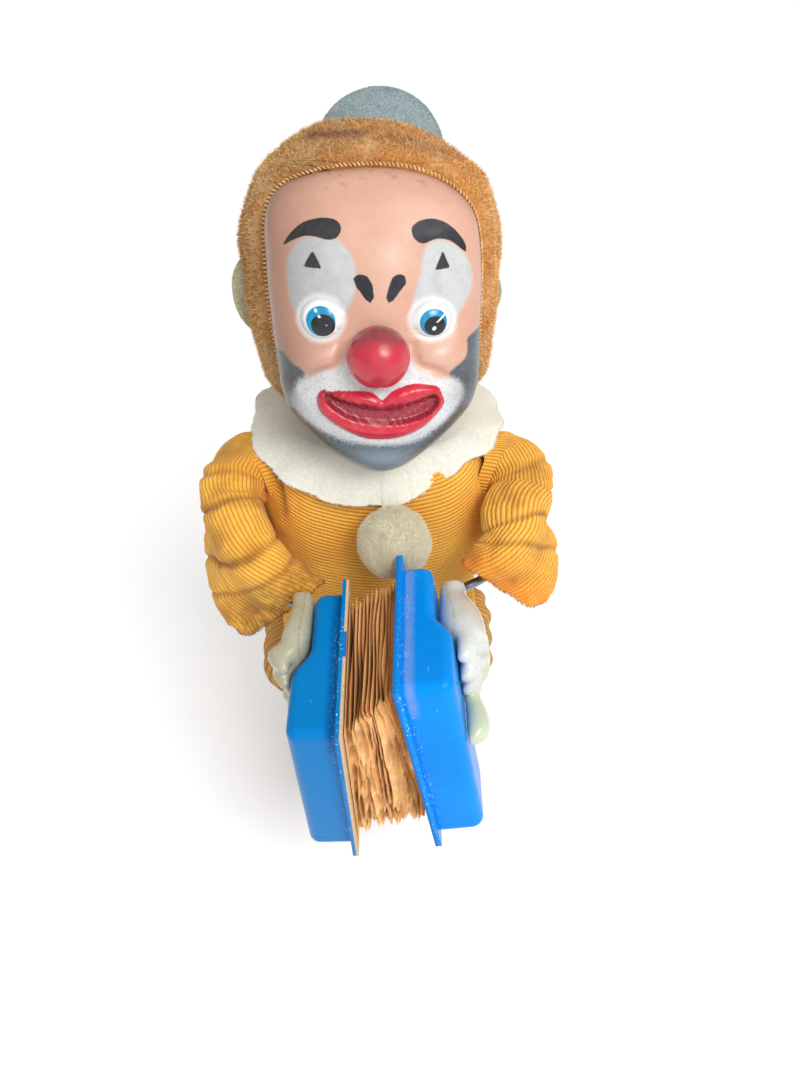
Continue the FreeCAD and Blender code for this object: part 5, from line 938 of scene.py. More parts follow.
def hat_finish():
    f = Finish("hat_flocking", Roughness=0.95, Sheen_Weight=0.4, Sheen_Roughness=0.6)
    grain = f.noise(1300.0, 3.0, 0.75)
    tint = f.mottled(grain, (108, 128, 132), (154, 174, 176))
    tint = f.stained(tint, (168, 186, 188), "shade", 0.5)
    tint = f.spots(tint, (104, 112, 104), f.noise(90.0, 5.0, 0.7), 0.55, 0.75, 0.5)
    tint = f.mix(f.value("edge"), tint, linear(186, 174, 144))
    return f.set(Base_Color=tint, Normal=f.bump(grain, 0.3, 0.9))


def make_hat():
    around, rows = 200, 110
    at_x, at_y, radius, brim, tall = 2.6, -3, 20.4, 79, 18.9
    profile = [(20.6, 75.3), (21, 75.7), (20.9, 76.8), (20.5, 77.8), (radius, brim)]
    profile += [(radius * math.cos(a), brim + tall * math.sin(a))
                for a in np.linspace(0.12, math.pi / 2 - 0.01, 12)]
    profile, angle = curve_through(profile, rows), round_angles(around)
    points = rows_of(at_x + profile[:, :1] * np.cos(angle), at_y + profile[:, :1] * np.sin(angle),
                     profile[:, 1:])
    centre = (at_x, at_y, brim - 1.4)
    lumps = 0.35 * noise(points, 12, 51) + 0.12 * noise(points, 3, 52)
    points = points + unit(points - centre) * lumps[:, None]
    faces = grid(rows, around, True)
    hub = len(points)
    points = np.vstack([points, [at_x, at_y, brim + tall]])
    roots, _ = scatter(points, faces, 26000, 53)
    hair, hair_faces, _, shade = strands(roots, unit(roots - centre), 0.55, 0.16, 0.6, 54, len(points))
    everything = np.vstack([points, hair])
    values = {"shade": np.append(np.full(len(points), 0.4), shade),
              "edge": 0.8 * step(80.6, 79.4, everything[:, 2])}
    piece = make_piece("hat_dome", from_head(everything),
                       [faces, fan((rows - 1) * around, hub, around), hair_faces],
                       hat_finish(), values)
    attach(piece, "head")
    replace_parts(piece, "hat")


make_hat()


def ear_finish():
    f = Finish("ear_felt", Roughness=0.97, Sheen_Weight=0.3)
    grain = f.noise(1000.0, 4.0, 0.75)
    tint = f.mottled(grain, (158, 150, 118), (208, 202, 172), 0.3, 0.72)
    tint = f.spots(tint, (136, 124, 88), f.noise(70.0, 5.0), 0.5, 0.75, 0.6)
    return f.set(Base_Color=tint, Normal=f.bump(grain, 0.35, 0.9))


def make_ears():
    """Two half discs of thick felt; their rims curl forward a little."""
    felt = ear_finish()
    around, rows = 110, 60
    upper = ((0.2, 0.95), (8, 1.0), (11.4, 1.05), (13.2, 1.0), (13.95, 0.45), (14, 0))
    radial = curve_through(upper + tuple((r, -thick) for r, thick in upper[-2::-1]), rows)
    r, thick = radial[:, :1], radial[:, 1:]
    angle = np.linspace(-0.56 * np.pi, 0.56 * np.pi, around)
    for label, out, back, level, grown in (("left", 28.2, -2.9, 36.5, 1.0),
                                           ("right", 30.2, -12.9, 38.6, 1.12)):
        side = SIDES[label]
        curl = -1.4 * (r / 14) ** 3 * (1 + 0.5 * np.cos(3 * angle))
        wave = r * (1 + 0.02 * np.sin(5 * angle + side))
        points = rows_of(side * wave * np.cos(angle), curl + thick, wave * np.sin(angle))
        points = points + wobble(points, (3, 3, 3), (60, 61, 62), 0.18)
        points = turned(points * grown, spin(0, 0.15), (side * out, back, level))
        faces = grid(rows, around)[:, ::side]
        roots, normals = scatter(points, faces, 6000, 64 + side)
        hair, hair_faces, _, _ = strands(roots, normals, 0.5, 0.12, 0.8, 66 + side, len(points))
        piece = make_piece("ear_felt_" + label, from_head(np.vstack([points, hair])), [faces, hair_faces],
                           felt)
        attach(piece, "head")
        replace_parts(piece, "ear_" + label)


make_ears()


# Corduroy

WALE = 1.5  # from rib to rib


def corduroy(name, lights, darks, dirt):
    """Ribs follow the value called wale; the thread along them follows run."""
    f = Finish(name, Roughness=0.92, Sheen_Weight=0.1, Sheen_Roughness=0.5)
    wale, run = f.value("wale"), f.value("run")
    ridge = f.math("SINE", f.product(f.math("FRACT", wale), math.pi))
    twist = f.math("SINE", f.product(f.plus(wale, run, 1 / 1.1), 2 * math.pi))
    fuzz, broad = f.noise(1700.0, 3.0, 0.75), f.noise(60.0, 5.0, 0.65)
    height = f.plus(f.plus(ridge, twist, 0.12), fuzz, 0.5)
    tone = f.between(f.plus(ridge, f.swing(fuzz, 0.8)), -0.1, 0.75)
    tint = f.mix(tone, linear(*darks[0]), f.mottled(broad, lights[0], lights[1], 0.35, 0.7))
    tint = f.spots(tint, lights[2], f.product(twist, ridge), 0.35, 0.95, 0.4)
    tint = f.spots(tint, darks[1], f.noise(34.0, 6.0, 0.7), 0.55, 0.75, 0.55)
    # Where worn, the cloth turns dark brown on the viewer's left and a deep orange on the right: wear, with
    # painted shade on the left.
    across = f.add("SeparateXYZ", {0: f.place()}).outputs["X"]
    worn = f.product(f.value("worn"), f.between(f.noise(160.0, 5.0, 0.7), 0.3, 0.6, 0.0, 0.9))
    tint = f.mix(worn, tint, f.mottled(across, dirt[0], dirt[1], -0.03, 0.03))
    # fold darkens the creases, the tucks and the inside of the sleeves: painted shade
    tint = f.stained(tint, darks[1], "fold", 0.8)
    return f.set(Base_Color=tint, Normal=f.bump(height, 0.22, 0.9))


# The last pair is the worn colour: dark brown on the viewer's left, as painted shade, and deep orange on the
# right.
GOLD = corduroy("gold_corduroy", ((253, 190, 72), (245, 170, 52), (255, 220, 124)),
                ((188, 120, 42), (146, 92, 32)), ((134, 86, 26), (246, 140, 34)))
# The trousers are the jacket's gold corduroy in darker tones: painted shade.
GOLD_IN_SHADE = corduroy("trouser_corduroy", ((222, 164, 76), (204, 146, 62), (240, 196, 112)),
                 ((150, 100, 40), (118, 78, 34)), ((130, 86, 36), (150, 100, 44)))

HEM = 64
JACKET = (
    # above the hem, middle of y, half width, half depth, corner
    (0, 0, 41, 30.5, 20), (14, 0, 40, 30, 20), (34, -0.5, 38, 28.5, 20), (60, -0.5, 41.8, 29, 20.5),
    (76, 0, 42.8, 28.6, 21), (86, 0, 40.6, 26.6, 20), (90, 0, 38, 25, 18.5), (92.6, 0, 33, 22, 15),
    (92.9, 0, 25, 20, 13),
)


def make_jacket():
    rows, columns, top = 440, 340, HEM + 92.6
    dense = curve_through([(HEM + above, *sizes) for above, *sizes in JACKET], 800)
    heights = np.append(np.linspace(HEM, top - 1, rows - 30), np.linspace(top - 1, top + 0.3, 31)[1:])
    middle, half_x, half_y, corner = (np.interp(heights, dense[:, 0], dense[:, k])[:, None]
                                      for k in range(1, 5))
    angle = round_angles(columns, -np.pi / 2)
    reach = box_ring(angle, half_x, half_y, corner)
    points = rows_of(reach * np.cos(angle), middle + reach * np.sin(angle), heights[:, None])
    x, y, z = points.T
    wale = (z - 0.0086 * np.where(y < 0, 1.0, 0.35) * x ** 2) / WALE + 0.35 * noise(points, 26, 71)
    folds = 1.1 * noise(points * (1, 1, 0.45), 13, 72) + 0.45 * noise(points, 6, 73)
    folds *= (0.6 + 0.4 * step(24, 36, np.abs(x))) * step(top + 0.5, top - 6, z) * step(HEM - 2, HEM + 5, z)
    crease = bell(x + 31 + 0.12 * (z - 120), 1.4) * step(128, 146, z) * (y < 4)
    shift = -0.75 + 0.7 * folds - 1.3 * crease + 0.28 * np.abs(np.sin(np.pi * wale))
    normal = surface_normals(points, rows, columns, True, away=points * (1, 1, 0))
    points = points + normal * np.minimum(shift, 0.25)[:, None]
    run = np.arctan2(points[:, 1], points[:, 0]) * 33
    worn = 0.5 * step(HEM + 6, HEM, points[:, 2])
    start = len(points)
    turned_in = [points[at:at + columns] - normal[at:at + columns] * 1.2 for at in (0, 6 * columns)]
    points = np.vstack([points] + turned_in)
    down = np.tile([0.0, 0.0, -1.0], (columns, 1))
    threads, thread_faces = fray(points[:columns], 900, 0.9, 75, len(points), down)
    everything = np.vstack([points, threads])
    rest = np.zeros(len(everything) - start)
    # fold: painted shade in the crease beside the right sleeve
    values = {"wale": np.append(wale, rest), "run": np.append(run, rest), "worn": np.append(worn, rest + 0.5),
              "fold": np.append(0.9 * crease, rest)}
    faces = [grid(rows, columns, True), belt(0, start, columns)[:, ::-1],
             grid(2, columns, True, start)[:, ::-1], thread_faces]
    piece = make_piece("jacket_cloth", from_spine(everything), faces, GOLD, values)
    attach(piece, "chassis")
    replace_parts(piece, "jacket")


make_jacket()

SEAT = (
    # below the hem, middle of x, half width, half depth, corner
    (0.6, 0, 40.4, 30, 20), (6, 0, 47, 33.6, 24), (15, 0, 49, 34.6, 26), (26, 0, 46, 32.6, 24),
    (29, 0, 43, 30.6, 22), (30, 0, 36, 26, 18),
)
LEG = ((18, 22, 18, 26, 15), (27, 22.44, 19.3, 29.8, 17), (35, 22, 18.8, 27.8, 17),
       (41, 21.01, 15.8, 21.8, 14),
       (44, 20.46, 13, 17, 11))


def make_trousers():
    rows, columns = 150, 200
    angle = round_angles(columns, -np.pi / 2)
    parts, faces, wales, runs = [], [], [], []
    start = 0
    for number, (side, middle_y, levels) in enumerate(((1, 0, SEAT), (1, -1, LEG), (-1, -1, LEG))):
        dense = curve_through([(HEM - below, side * x, *sizes) for below, x, *sizes in levels], rows)
        z, middle_x, half_x, half_y, corner = (dense[:, k:k + 1] for k in range(5))
        pleats = 1 + 0.018 * np.sin(26 * angle + 0.2 * z) + 0.01 * np.sin(11 * angle)
        reach = box_ring(angle, half_x, half_y, corner) * pleats
        points = rows_of(middle_x + reach * np.cos(angle), middle_y + reach * np.sin(angle), z)
        top_x = side * levels[0][1]
        normal = surface_normals(points, rows, columns, True, away=points - (top_x, 0, points[:, 2].mean()))
        wale = (np.arctan2(points[:, 1] - middle_y, points[:, 0] - top_x) * 30) / WALE
        shift = -0.9 + 0.8 * noise(points, 9, 81 + number) + 0.2 * np.abs(np.sin(np.pi * wale))
        points = points + normal * np.minimum(shift, 0.2)[:, None]
        points[:, 0] -= 3.8 * step(28, 46, -points[:, 0]) * bell(points[:, 2] - 43, 15)
        parts.append(points)
        faces.append(grid(rows, columns, True, start)[:, ::-1])
        start += len(points)
        wales.append(wale)
        runs.append(points[:, 2])
        if levels is LEG:
            ring = points[-columns:]
            parts.append(ring.mean(0) + (ring - ring.mean(0)) * (0.55, 0.6, 0))
            faces.append(belt(start - columns, start, columns)[:, ::-1])
            start += columns
            wales.append(wale[-columns:])
            runs.append(np.zeros(columns))
    values = {"wale": np.concatenate(wales), "run": np.concatenate(runs), "worn": np.full(start, 0.25),
              "fold": np.zeros(start)}
    piece = make_piece("trousers_cloth", from_spine(np.vstack(parts)), faces, GOLD_IN_SHADE, values)
    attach(piece, "chassis")
    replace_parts(piece, "trousers")


make_trousers()


# Sleeves: rings turn about a crease at the shoulder, then run to the open cuff

SHOULDER = (
    # turn, half width, half height, height of the middle, lean of the long axis
    (0, 14.2, 10.5, 146.0, 0.0), (25, 13.0, 11.4, 145.0, 0.1), (50, 11.4, 13.4, 143.0, 0.28),
    (72, 10.4, 15.6, 140.6, 0.5), (90, 10.2, 17.4, 138.0, 0.7),
)
CREASE_X, CREASE_Y = 40.3, -20.75
SLEEVES = {
    # stations (x, y, z, half width, half height), then the cuff's middle, long axis and half sizes
    "left": (((49, -27.5, 135.6, 11.2, 18.2), (49.6, -35, 131.5, 11, 17), (48, -40.6, 127.2, 10, 17.4)),
             (43.4, -44, 120.8), (0.78, 0, -0.63), (7.8, 17.0)),
    "right": (((-49.6, -27.5, 132.8, 10.8, 18.2), (-47.4, -35, 126.4, 10.6, 18),
               (-42.2, -40.8, 118.2, 10, 19)),
              (-34.8, -45, 109.2), (-0.67, 0, -0.745), (8.2, 19.8)),
}
TUCKS = ((0.40, 0.05, 1.9, 0.018), (0.60, -0.07, 1.5, 0.016), (0.76, 0.05, 1.2, 0.014),
         (0.24, -0.04, 1.0, 0.02))


def across_of(axes, direction):
    """Axes made square to a direction."""
    return unit(axes - direction * np.sum(axes * direction, axis=-1, keepdims=True))


def sleeve_frames(label, count):
    """Middle, direction, long axis and half sizes at places along a sleeve."""
    stations, cuff, cuff_axis, cuff_half = SLEEVES[label]
    keys = []
    for turn, short, tall, level, lean in SHOULDER:
        a = math.radians(turn)
        outward = np.array([SIDES[label] * math.sin(a), math.cos(a), 0])
        middle = np.array([SIDES[label] * CREASE_X, CREASE_Y, level]) + outward * short
        keys.append((*middle, *across_of(np.array([0, lean, -1.0]), outward), short, tall))
    last_axis = np.array(keys[-1][3:6])
    for number, (x, y, z, short, tall) in enumerate(stations):
        share = (number + 1) / (len(stations) + 1)
        keys.append((x, y, z, *(last_axis * (1 - share) + np.array(cuff_axis) * share), short, tall))
    keys.append((*cuff, *cuff_axis, *cuff_half))
    dense = curve_through(np.array(keys) * ([1] * 3 + [12] * 3 + [1] * 2), count)
    middle, long_axis, half = dense[:, :3], dense[:, 3:6], dense[:, 6:]
    ahead = unit(np.gradient(middle, axis=0))
    return middle, ahead, across_of(long_axis, ahead), half


def sleeve_folds(points, place, turn, side):
    """Soft folds, and tucks that are deepest on the side that faces the body."""
    folds = 1.25 * noise(points * (1, 1, 1.3), 10.5, 92 + side) + 0.6 * noise(points, 5, 95 + side)
    folds += 0.35 * noise(points, 2.8, 97)
    tucks = 0
    for at, slant, deep, wide in TUCKS:
        waves = at + slant * np.sin(2 * np.pi * turn + at * 20) + 0.012 * noise(points, 6, 98)
        tucks = tucks + deep * bell(place - waves, wide)
    inward = 0.5 + 0.5 * np.cos(2 * np.pi * (turn - (0.5 if side > 0 else 0.0)))
    return folds, tucks * (0.35 + 0.65 * inward)


def make_sleeve(label):
    rows, columns, ribs, side = 190, 330, 58, SIDES[label]
    middle, ahead, long_axis, half = sleeve_frames(label, rows)
    short_axis = np.cross(long_axis, ahead)
    angles = np.linspace(0, 2 * np.pi, 721)
    rings = []
    for number, (short, tall) in enumerate(half):
        reach = box_ring(angles, short, tall, min(min(short, tall) * 0.85, short - 0.4, tall - 0.4))
        ring = resampled(np.stack([reach * np.cos(angles), reach * np.sin(angles)], 1), columns + 1)[:-1]
        rings.append(middle[number] + ring @ np.stack([short_axis[number], long_axis[number]]))
    points = np.vstack(rings)
    place, turn = np.repeat(np.linspace(0, 1, rows), columns), np.tile(np.arange(columns) / columns, rows)
    middles, aheads, long_axes = (np.repeat(each, columns, axis=0) for each in (middle, ahead, long_axis))
    out = unit(points - middles)
    wale = turn * ribs + 0.5 * noise(points, 18, 91) + 0.6 * np.sin(place * 9 + side)
    folds, tucks = sleeve_folds(points, place, turn, side)
    near_cuff = step(0.9, 1.0, place)
    fade = step(0, 0.1, place) * (1 - 0.55 * near_cuff)
    shift = (-0.35 + folds - tucks) * fade + 0.26 * np.abs(np.sin(np.pi * wale))
    shift += 0.9 * near_cuff * np.sin(2 * np.pi * turn * 3 + 1)
    points = points + out * np.clip(shift, -4.2, 1.3)[:, None]
    into_jacket = 8.5 * step(0.06, 0.0, place) * step(-18, -8, points[:, 1])
    points = points - (side, 0, 0.15) * into_jacket[:, None]
    below = np.sum((points - middles) * long_axes, axis=1) / np.repeat(half[:, 1], columns)
    low_end = (step(0.45, 1.0, below) * step(0.86, 1.0, place))[:, None]
    wild = 0.8 * noise(rows_of(turn * 90, 0, 0), 5, 99) * step(0.93, 1.0, place)
    points = points + aheads * (wild[:, None] - 5.5 * low_end) - long_axes * 1.6 * low_end
    start, last = len(points), (rows - 1) * columns
    both = np.vstack([points, points - out * 1.1])
    threads, thread_faces = fray(points[last:], 1500, 1.0, 101 + side, 2 * start,
                                 np.tile(ahead[-1], (columns, 1)))
    # wear at the cuff and a ring halfway; it reaches further up the right sleeve, where the dark brown is
    # painted shade
    worn = 0.9 * step(0.78 if side > 0 else 0.7, 0.97, place) + 0.45 * step(0.06, 0.0, np.abs(place - 0.42))
    run = run_along(middle)[np.repeat(np.arange(rows), columns)]
    # groove, and 0.9 on the lining, darken the tucks, the fold hollows and the inside of the sleeve: painted
    # shade
    groove = np.clip(0.55 * tucks * fade + 0.35 * np.clip(-folds, 0, 2), 0, 1)
    rest = np.zeros(len(threads))
    values = {"wale": np.concatenate([wale, wale, rest]), "run": np.concatenate([run, run, rest]),
              "worn": np.concatenate([worn, worn, rest + 0.8]),
              "fold": np.concatenate([groove, np.full(start, 0.9), rest + 0.2])}
    lining = grid(rows, columns, True, start)[columns * (rows // 2):]
    faces = [grid(rows, columns, True)[:, ::side], belt(last, start + last, columns)[:, ::side],
             lining[:, ::-side], thread_faces]
    piece = make_piece("sleeve_cloth_" + label, from_spine(np.vstack([both, threads])), faces, GOLD, values)
    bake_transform(piece)
    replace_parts(piece, "sleeve_" + label)


for label in SLEEVES:
    make_sleeve(label)


# Collar and pompom

def collar_finish():
    f = Finish("collar_felt", Roughness=0.97, Sheen_Weight=0.25)
    grain = f.noise(900.0, 4.0, 0.8)
    tint = f.mottled(grain, (234, 231, 214), (250, 249, 238))
    tint = f.spots(tint, (196, 188, 160), f.noise(36.0, 5.0, 0.65), 0.58, 0.78, 0.5)
    tint = f.spots(tint, (150, 132, 98), f.noise(150.0, 6.0, 0.75), 0.66, 0.76, 0.5)
    return f.set(Base_Color=tint, Normal=f.bump(grain, 0.35, 0.9))


def collar_edge(angle):
    """How far the collar reaches and how far its edge hangs, in each direction."""
    def oval(across, along, power=2.0):
        return (np.abs(np.cos(angle) / across) ** power
                + np.abs(np.sin(angle) / along) ** power) ** (-1 / power)

    behind, lobe = np.sin(angle) > 0, bell(angle - math.radians(222), 0.42)
    scallop = noise(rows_of(np.cos(angle) * 30, np.sin(angle) * 30, 0), 8.5, 111)
    ragged = noise(rows_of(angle * 40, 0, 0), 1.1, 112)
    reach = np.where(behind, oval(45.5, 35, 3.2), oval(45.5, 31)) + 0.5 * np.cos(18 * angle) + 1.5 * scallop
    reach = reach + 0.25 * ragged + 4.0 * lobe - 1.5 * step(0.2, 0.9, np.cos(angle))
    drop = np.where(behind, 11 * np.sin(angle) ** 6, 15 * np.sin(angle) ** 2)
    drop = drop + 2.6 * np.cos(angle) ** 2 * np.where(behind, 0.3 + 0.7 * np.cos(angle) ** 6, 1.0)
    drop = drop + 2.2 * lobe + 1.5 * bell(angle - 1.5 * np.pi, 0.5)
    return oval(31, 23.5), reach, drop


def make_collar():
    """A felt ring cut by hand, lying round the neck and dropping over the chest; its edge is ragged."""
    around, rings, top, neck = 620, 56, 161.7, 18.8
    angle = round_angles(around)
    bend, reach, drop = collar_edge(angle)
    share = np.linspace(0, 1, rings)[:, None]
    inner_part, outer_part = np.clip(share / 0.35, 0, 1), np.clip((share - 0.35) / 0.65, 0, 1)
    radius = neck + (bend - neck) * inner_part + (reach - bend) * outer_part
    waves = 0.9 * np.sin(7 * angle + 0.6) + 0.7 * np.sin(11 * angle + 2.0)
    height = top - 0.3 * inner_part - (drop - 0.3) * outer_part ** 1.45 + 0.55 * waves * outer_part ** 1.5
    upper = rows_of(radius * np.cos(angle), radius * np.sin(angle), height)
    upper[:, 2] += 0.25 * noise(upper, 4, 113) * np.repeat(outer_part[:, 0], around)
    lower = upper - surface_normals(upper, rings, around, True, away=np.array([0, 0, 1])) * 1.1
    start, last = len(upper), (rings - 1) * around
    faces = [grid(rings, around, True)[:, ::-1], grid(rings, around, True, start),
             belt(last, start + last, around), belt(0, start, around)[:, ::-1]]
    outward = rows_of(np.cos(angle), np.sin(angle), -0.5)
    threads, thread_faces = fray(upper[last:], 1500, 0.7, 115, 2 * start, outward)
    roots, up = scatter(upper, grid(rings, around, True), 22000, 117)
    up = np.where(up[:, 2:] < 0, -up, up)
    nap, nap_faces, _, _ = strands(roots, up, 0.32, 0.1, 1.4, 118, 2 * start + len(threads))
    piece = make_piece("collar_sheet", from_spine(np.vstack([upper, lower, threads, nap])),
                       faces + [thread_faces, nap_faces], collar_finish())
    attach(piece, "chassis")
    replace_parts(piece, "collar")
    return piece


collar = make_collar()


def pompom_finish():
    f = Finish("pompom_wool", Roughness=0.97, Sheen_Weight=0.3)
    lit = f.product(f.value("shade"), f.value("tip"))
    tint = f.mix(lit, linear(236, 226, 196), linear(255, 254, 240))
    tint = f.spots(tint, (206, 192, 156), f.noise(160.0, 4.0, 0.7), 0.5, 0.72, 0.4)
    return f.set(Base_Color=tint, Normal=f.bump(f.noise(1500.0, 3.0, 0.7), 0.3, 0.8))


def make_pompom():
    around, rings, tall = 120, 80, 13.6
    polar = np.linspace(0.02, math.pi - 0.02, rings)[:, None]
    angle = round_angles(around)
    ball = rows_of(np.sin(polar) * np.cos(angle), np.sin(polar) * np.sin(angle), np.cos(polar))
    lumps = 1 + 0.035 * noise(ball * 10, 4.5, 121) + 0.02 * noise(ball * 10, 1.6, 122)
    points = ball * lumps[:, None] * (11.8, 9.2, tall)
    faces = grid(rings, around, True)
    hub = len(points)
    points = np.vstack([points, [0, 0, tall], [0, 0, -tall]])
    caps = np.vstack([fan(0, hub, around)[:, ::-1], fan((rings - 1) * around, hub + 1, around)])
    roots, _ = scatter(points, faces, 52000, 123)
    hair, hair_faces, tips, shade = strands(roots, unit(roots), 1.25, 0.16, 0.7, 124, len(points))
    solid = np.full(len(points), 0.6)
    piece = make_piece("pompom_wool", from_spine(np.vstack([points, hair]) + (6, -38.5, 135.2)),
                       [faces[:, ::-1], caps, hair_faces], pompom_finish(),
                       {"tip": np.append(solid, tips), "shade": np.append(solid, shade)})
    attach(piece, "chassis")
    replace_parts(piece, "pompom")


make_pompom()


# Bellows: a pleated paper tube between the cards, crumpled at its front

LEAVES, STEPS_PER_LEAF = 13, 6
EDGE_ROWS = (60, 110, 40, 40)  # points along the top, front, bottom and back edge


def paper_finish():
    f = Finish("kraft_paper", Roughness=0.88)
    fibre = f.noise(500.0, 5.0, 0.7)
    tint = f.mottled(fibre, (255, 212, 150), (240, 192, 130))
    # inner and deep darken the paper where the leaves fold in, most of all deep between them: painted shade
    tint = f.stained(tint, (196, 148, 98), "inner", 0.45)
    tint = f.spots(tint, (186, 140, 90), f.noise(80.0, 4.0, 0.6), 0.55, 0.75, 0.4)
    tint = f.stained(tint, (108, 80, 56), "deep")
    return f.set(Base_Color=tint, Normal=f.bump(fibre, 0.12, 0.6))


def bellows_ends():
    """The bellows' four corners at each card, just clear of it."""
    gap, margin, long_end, tall = 1.1, 2.6, TRAY_LONG - 2.6, TRAY_TALL - 6.5
    back = margin + 3
    corners = np.array(((-1, -back, -margin), (-1, -long_end, -margin), (-1, -long_end, -tall),
                        (-1, -back, -tall)))
    return {label: from_tray(corners * (side * gap, 1, 1), label) for label, side in SIDES.items()}


def leaf_folds(shares):
    """1 at the leaves' inner folds and less at the outer ones, which stand unevenly."""
    heights = np.random.default_rng(7).uniform(0.35, 1.0, LEAVES + 2)
    phase = shares * LEAVES / 2
    return 1 - (1 - np.abs((phase % 1) * 2 - 1)) * heights[(phase + 0.5).astype(int)]


def make_bellows(label, ends, paper):
    side, far = SIDES[label], ends[label]
    near = (ends["left"] + ends["right"]) / 2
    count, rows = LEAVES * STEPS_PER_LEAF + 1, sum(EDGE_ROWS)
    shares = np.linspace(0, 1, count)
    loops = near + (far - near) * shares[:, None, None]
    edges = []
    for edge, steps in enumerate(EDGE_ROWS):
        one, other = loops[:, edge, None], loops[:, (edge + 1) % 4, None]
        edges.append(one + (other - one) * np.linspace(0, 1, steps, endpoint=False)[:, None])
    rings = np.concatenate(edges, axis=1)
    fold, place = leaf_folds(shares)[:, None], np.arange(rows)
    top, front = EDGE_ROWS[0], EDGE_ROWS[0] + EDGE_ROWS[1]
    on_front = step(top - 6, top + 8, place) * step(front + 4, front - 2, place)
    down = np.clip((place - top) / EDGE_ROWS[1], 0, 1)
    seeds = rows_of(shares[:, None] * side * 30, place * 0.35, 0)
    wander = noise(seeds, 7, 131).reshape(count, rows)
    crumple = np.abs(noise(seeds * (1.0, 0.9, 1), 5.5, 132)) + 0.5 * np.abs(noise(seeds, 2.6, 133))
    inset = (4.4 * fold + 1.2 * wander * (fold > 0.5)) * (1 - 0.25 * on_front)
    inset += on_front * (4.2 * crumple.reshape(count, rows) * (0.4 + 0.8 * down) - 0.6)
    inset = np.clip(inset, 0.1, 6.5) * step(0.0, 0.04, 1 - shares)[:, None] + 0.3
    offset, points = rings - loops.mean(1)[:, None], rings
    for corner, reach in ((0, 0.80), (1, 0.86)):
        axis = unit(loops[:, corner, None] - loops[:, corner + 1, None])
        along = np.sum(offset * axis, axis=2)
        pull = np.sign(along) * step(reach, 1.0, np.abs(along) / np.abs(along).max(axis=1, keepdims=True))
        points = points - (inset * pull)[..., None] * axis
    ripple = noise(seeds * (1, 0.6, 1), 6, 134).reshape(count, rows)
    lean = wander * 0.9 * (1 - on_front) + on_front * 2.6 * ripple
    seam = (step(0, 0.12, shares) * step(1.0, 0.9, shares))[:, None]
    points[..., 0] += lean * seam * 0.8
    # painted shade by fold depth, weaker on the front
    depth = inset / 5.0
    values = {"inner": (np.clip(depth * 0.9, 0, 1) * (1 - 0.6 * on_front)).ravel(),
              "deep": (np.clip((depth - 0.62) * 2.2, 0, 1) * (1 - 0.75 * on_front)).ravel()}
    piece = make_piece("bellows_paper_" + label, points.reshape(-1, 3), grid(count, rows, True)[:, ::side],
                       paper,
                       values, smooth=False)
    inward = from_tray(((0, 0, 0), (-side, 0, 0)), label)
    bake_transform(piece)
    if label == "left":
        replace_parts(piece, "bellows")


paper, ends = paper_finish(), bellows_ends()
for label in SIDES:
    make_bellows(label, ends, paper)


# Finishes of the rigid pieces

def in_tray(f, label):
    """Metres across, along and up from a tray's own corner."""
    place, turns = TRAYS[label]
    node = f.add("Mapping", {"Vector": f.place(), "Location": tuple(c * MM for c in place),
                             "Rotation": tuple(math.radians(a) for a in turns[::-1])}, vector_type="TEXTURE")
    return f.add("SeparateXYZ", {0: node.outputs["Vector"]}).outputs


def shell_finish(label):
    """Blue lacquer, darker on the right shell as painted shade, with a band beside the rim that is a painted
    highlight on the left shell and painted shade on the right, and flecks, scratches and scuffs.
    """
    f = Finish("blue_shell_" + label, Coat_Weight=0.05, Coat_Roughness=0.08, Specular_IOR_Level=0.08)
    broad, fine = f.noise(45.0, 3.0), f.noise(1400.0, 3.0, 0.7)
    out, along, up = in_tray(f, label)
    # the right shell's darker blue is painted shade; pale is a painted highlight on the left shell's band
    # beside the rim and painted shade on the right shell's
    blue, pale = ((0, 146, 240), (130, 160, 214)) if label == "left" else ((0, 126, 196), (0, 84, 150))
    tint = f.spots(linear(*blue), (0, 112, 190), broad, 0.3, 0.7, 0.25)
    step_out = f.math("ABSOLUTE", out)
    fillet_light_and_shade = f.product(f.between(step_out, 0.0016, 0.0024), f.between(step_out, 0.0056, 0.0030),
                      f.between(up, -0.016, -0.010), f.between(f.noise(500.0, 4.0, 0.7), 0.3, 0.6, 0.35, 0.8))
    tint = f.mix(fillet_light_and_shade, tint, linear(*pale))
    fleck = f.product(f.between(step_out, 0.0034, 0.0026), f.between(f.noise(1300.0, 3.0, 0.8), 0.62, 0.66),
                      f.between(along, -0.012, -0.02))
    tint = f.mix(fleck, tint, linear(222, 238, 248))
    scratch = f.noise(300.0, 5.0, 0.7, f.stretched((1.0, 0.22, 0.5)), 0.4)
    tint = f.spots(tint, (206, 226, 240), scratch, 0.69, 0.72, 0.7)
    tint = f.spots(tint, (226, 238, 246), f.noise(900.0, 3.0, 0.8), 0.745, 0.765, 0.8)
    tint = f.spots(tint, (10, 74, 120), f.noise(120.0, 6.0, 0.8), 0.66, 0.72, 0.6)
    return f.set(Base_Color=tint, Roughness=f.between(fine, 0.3, 0.7, 0.2, 0.36),
                 Normal=f.bump(f.plus(broad, fine, 0.1), 0.05, 0.5))


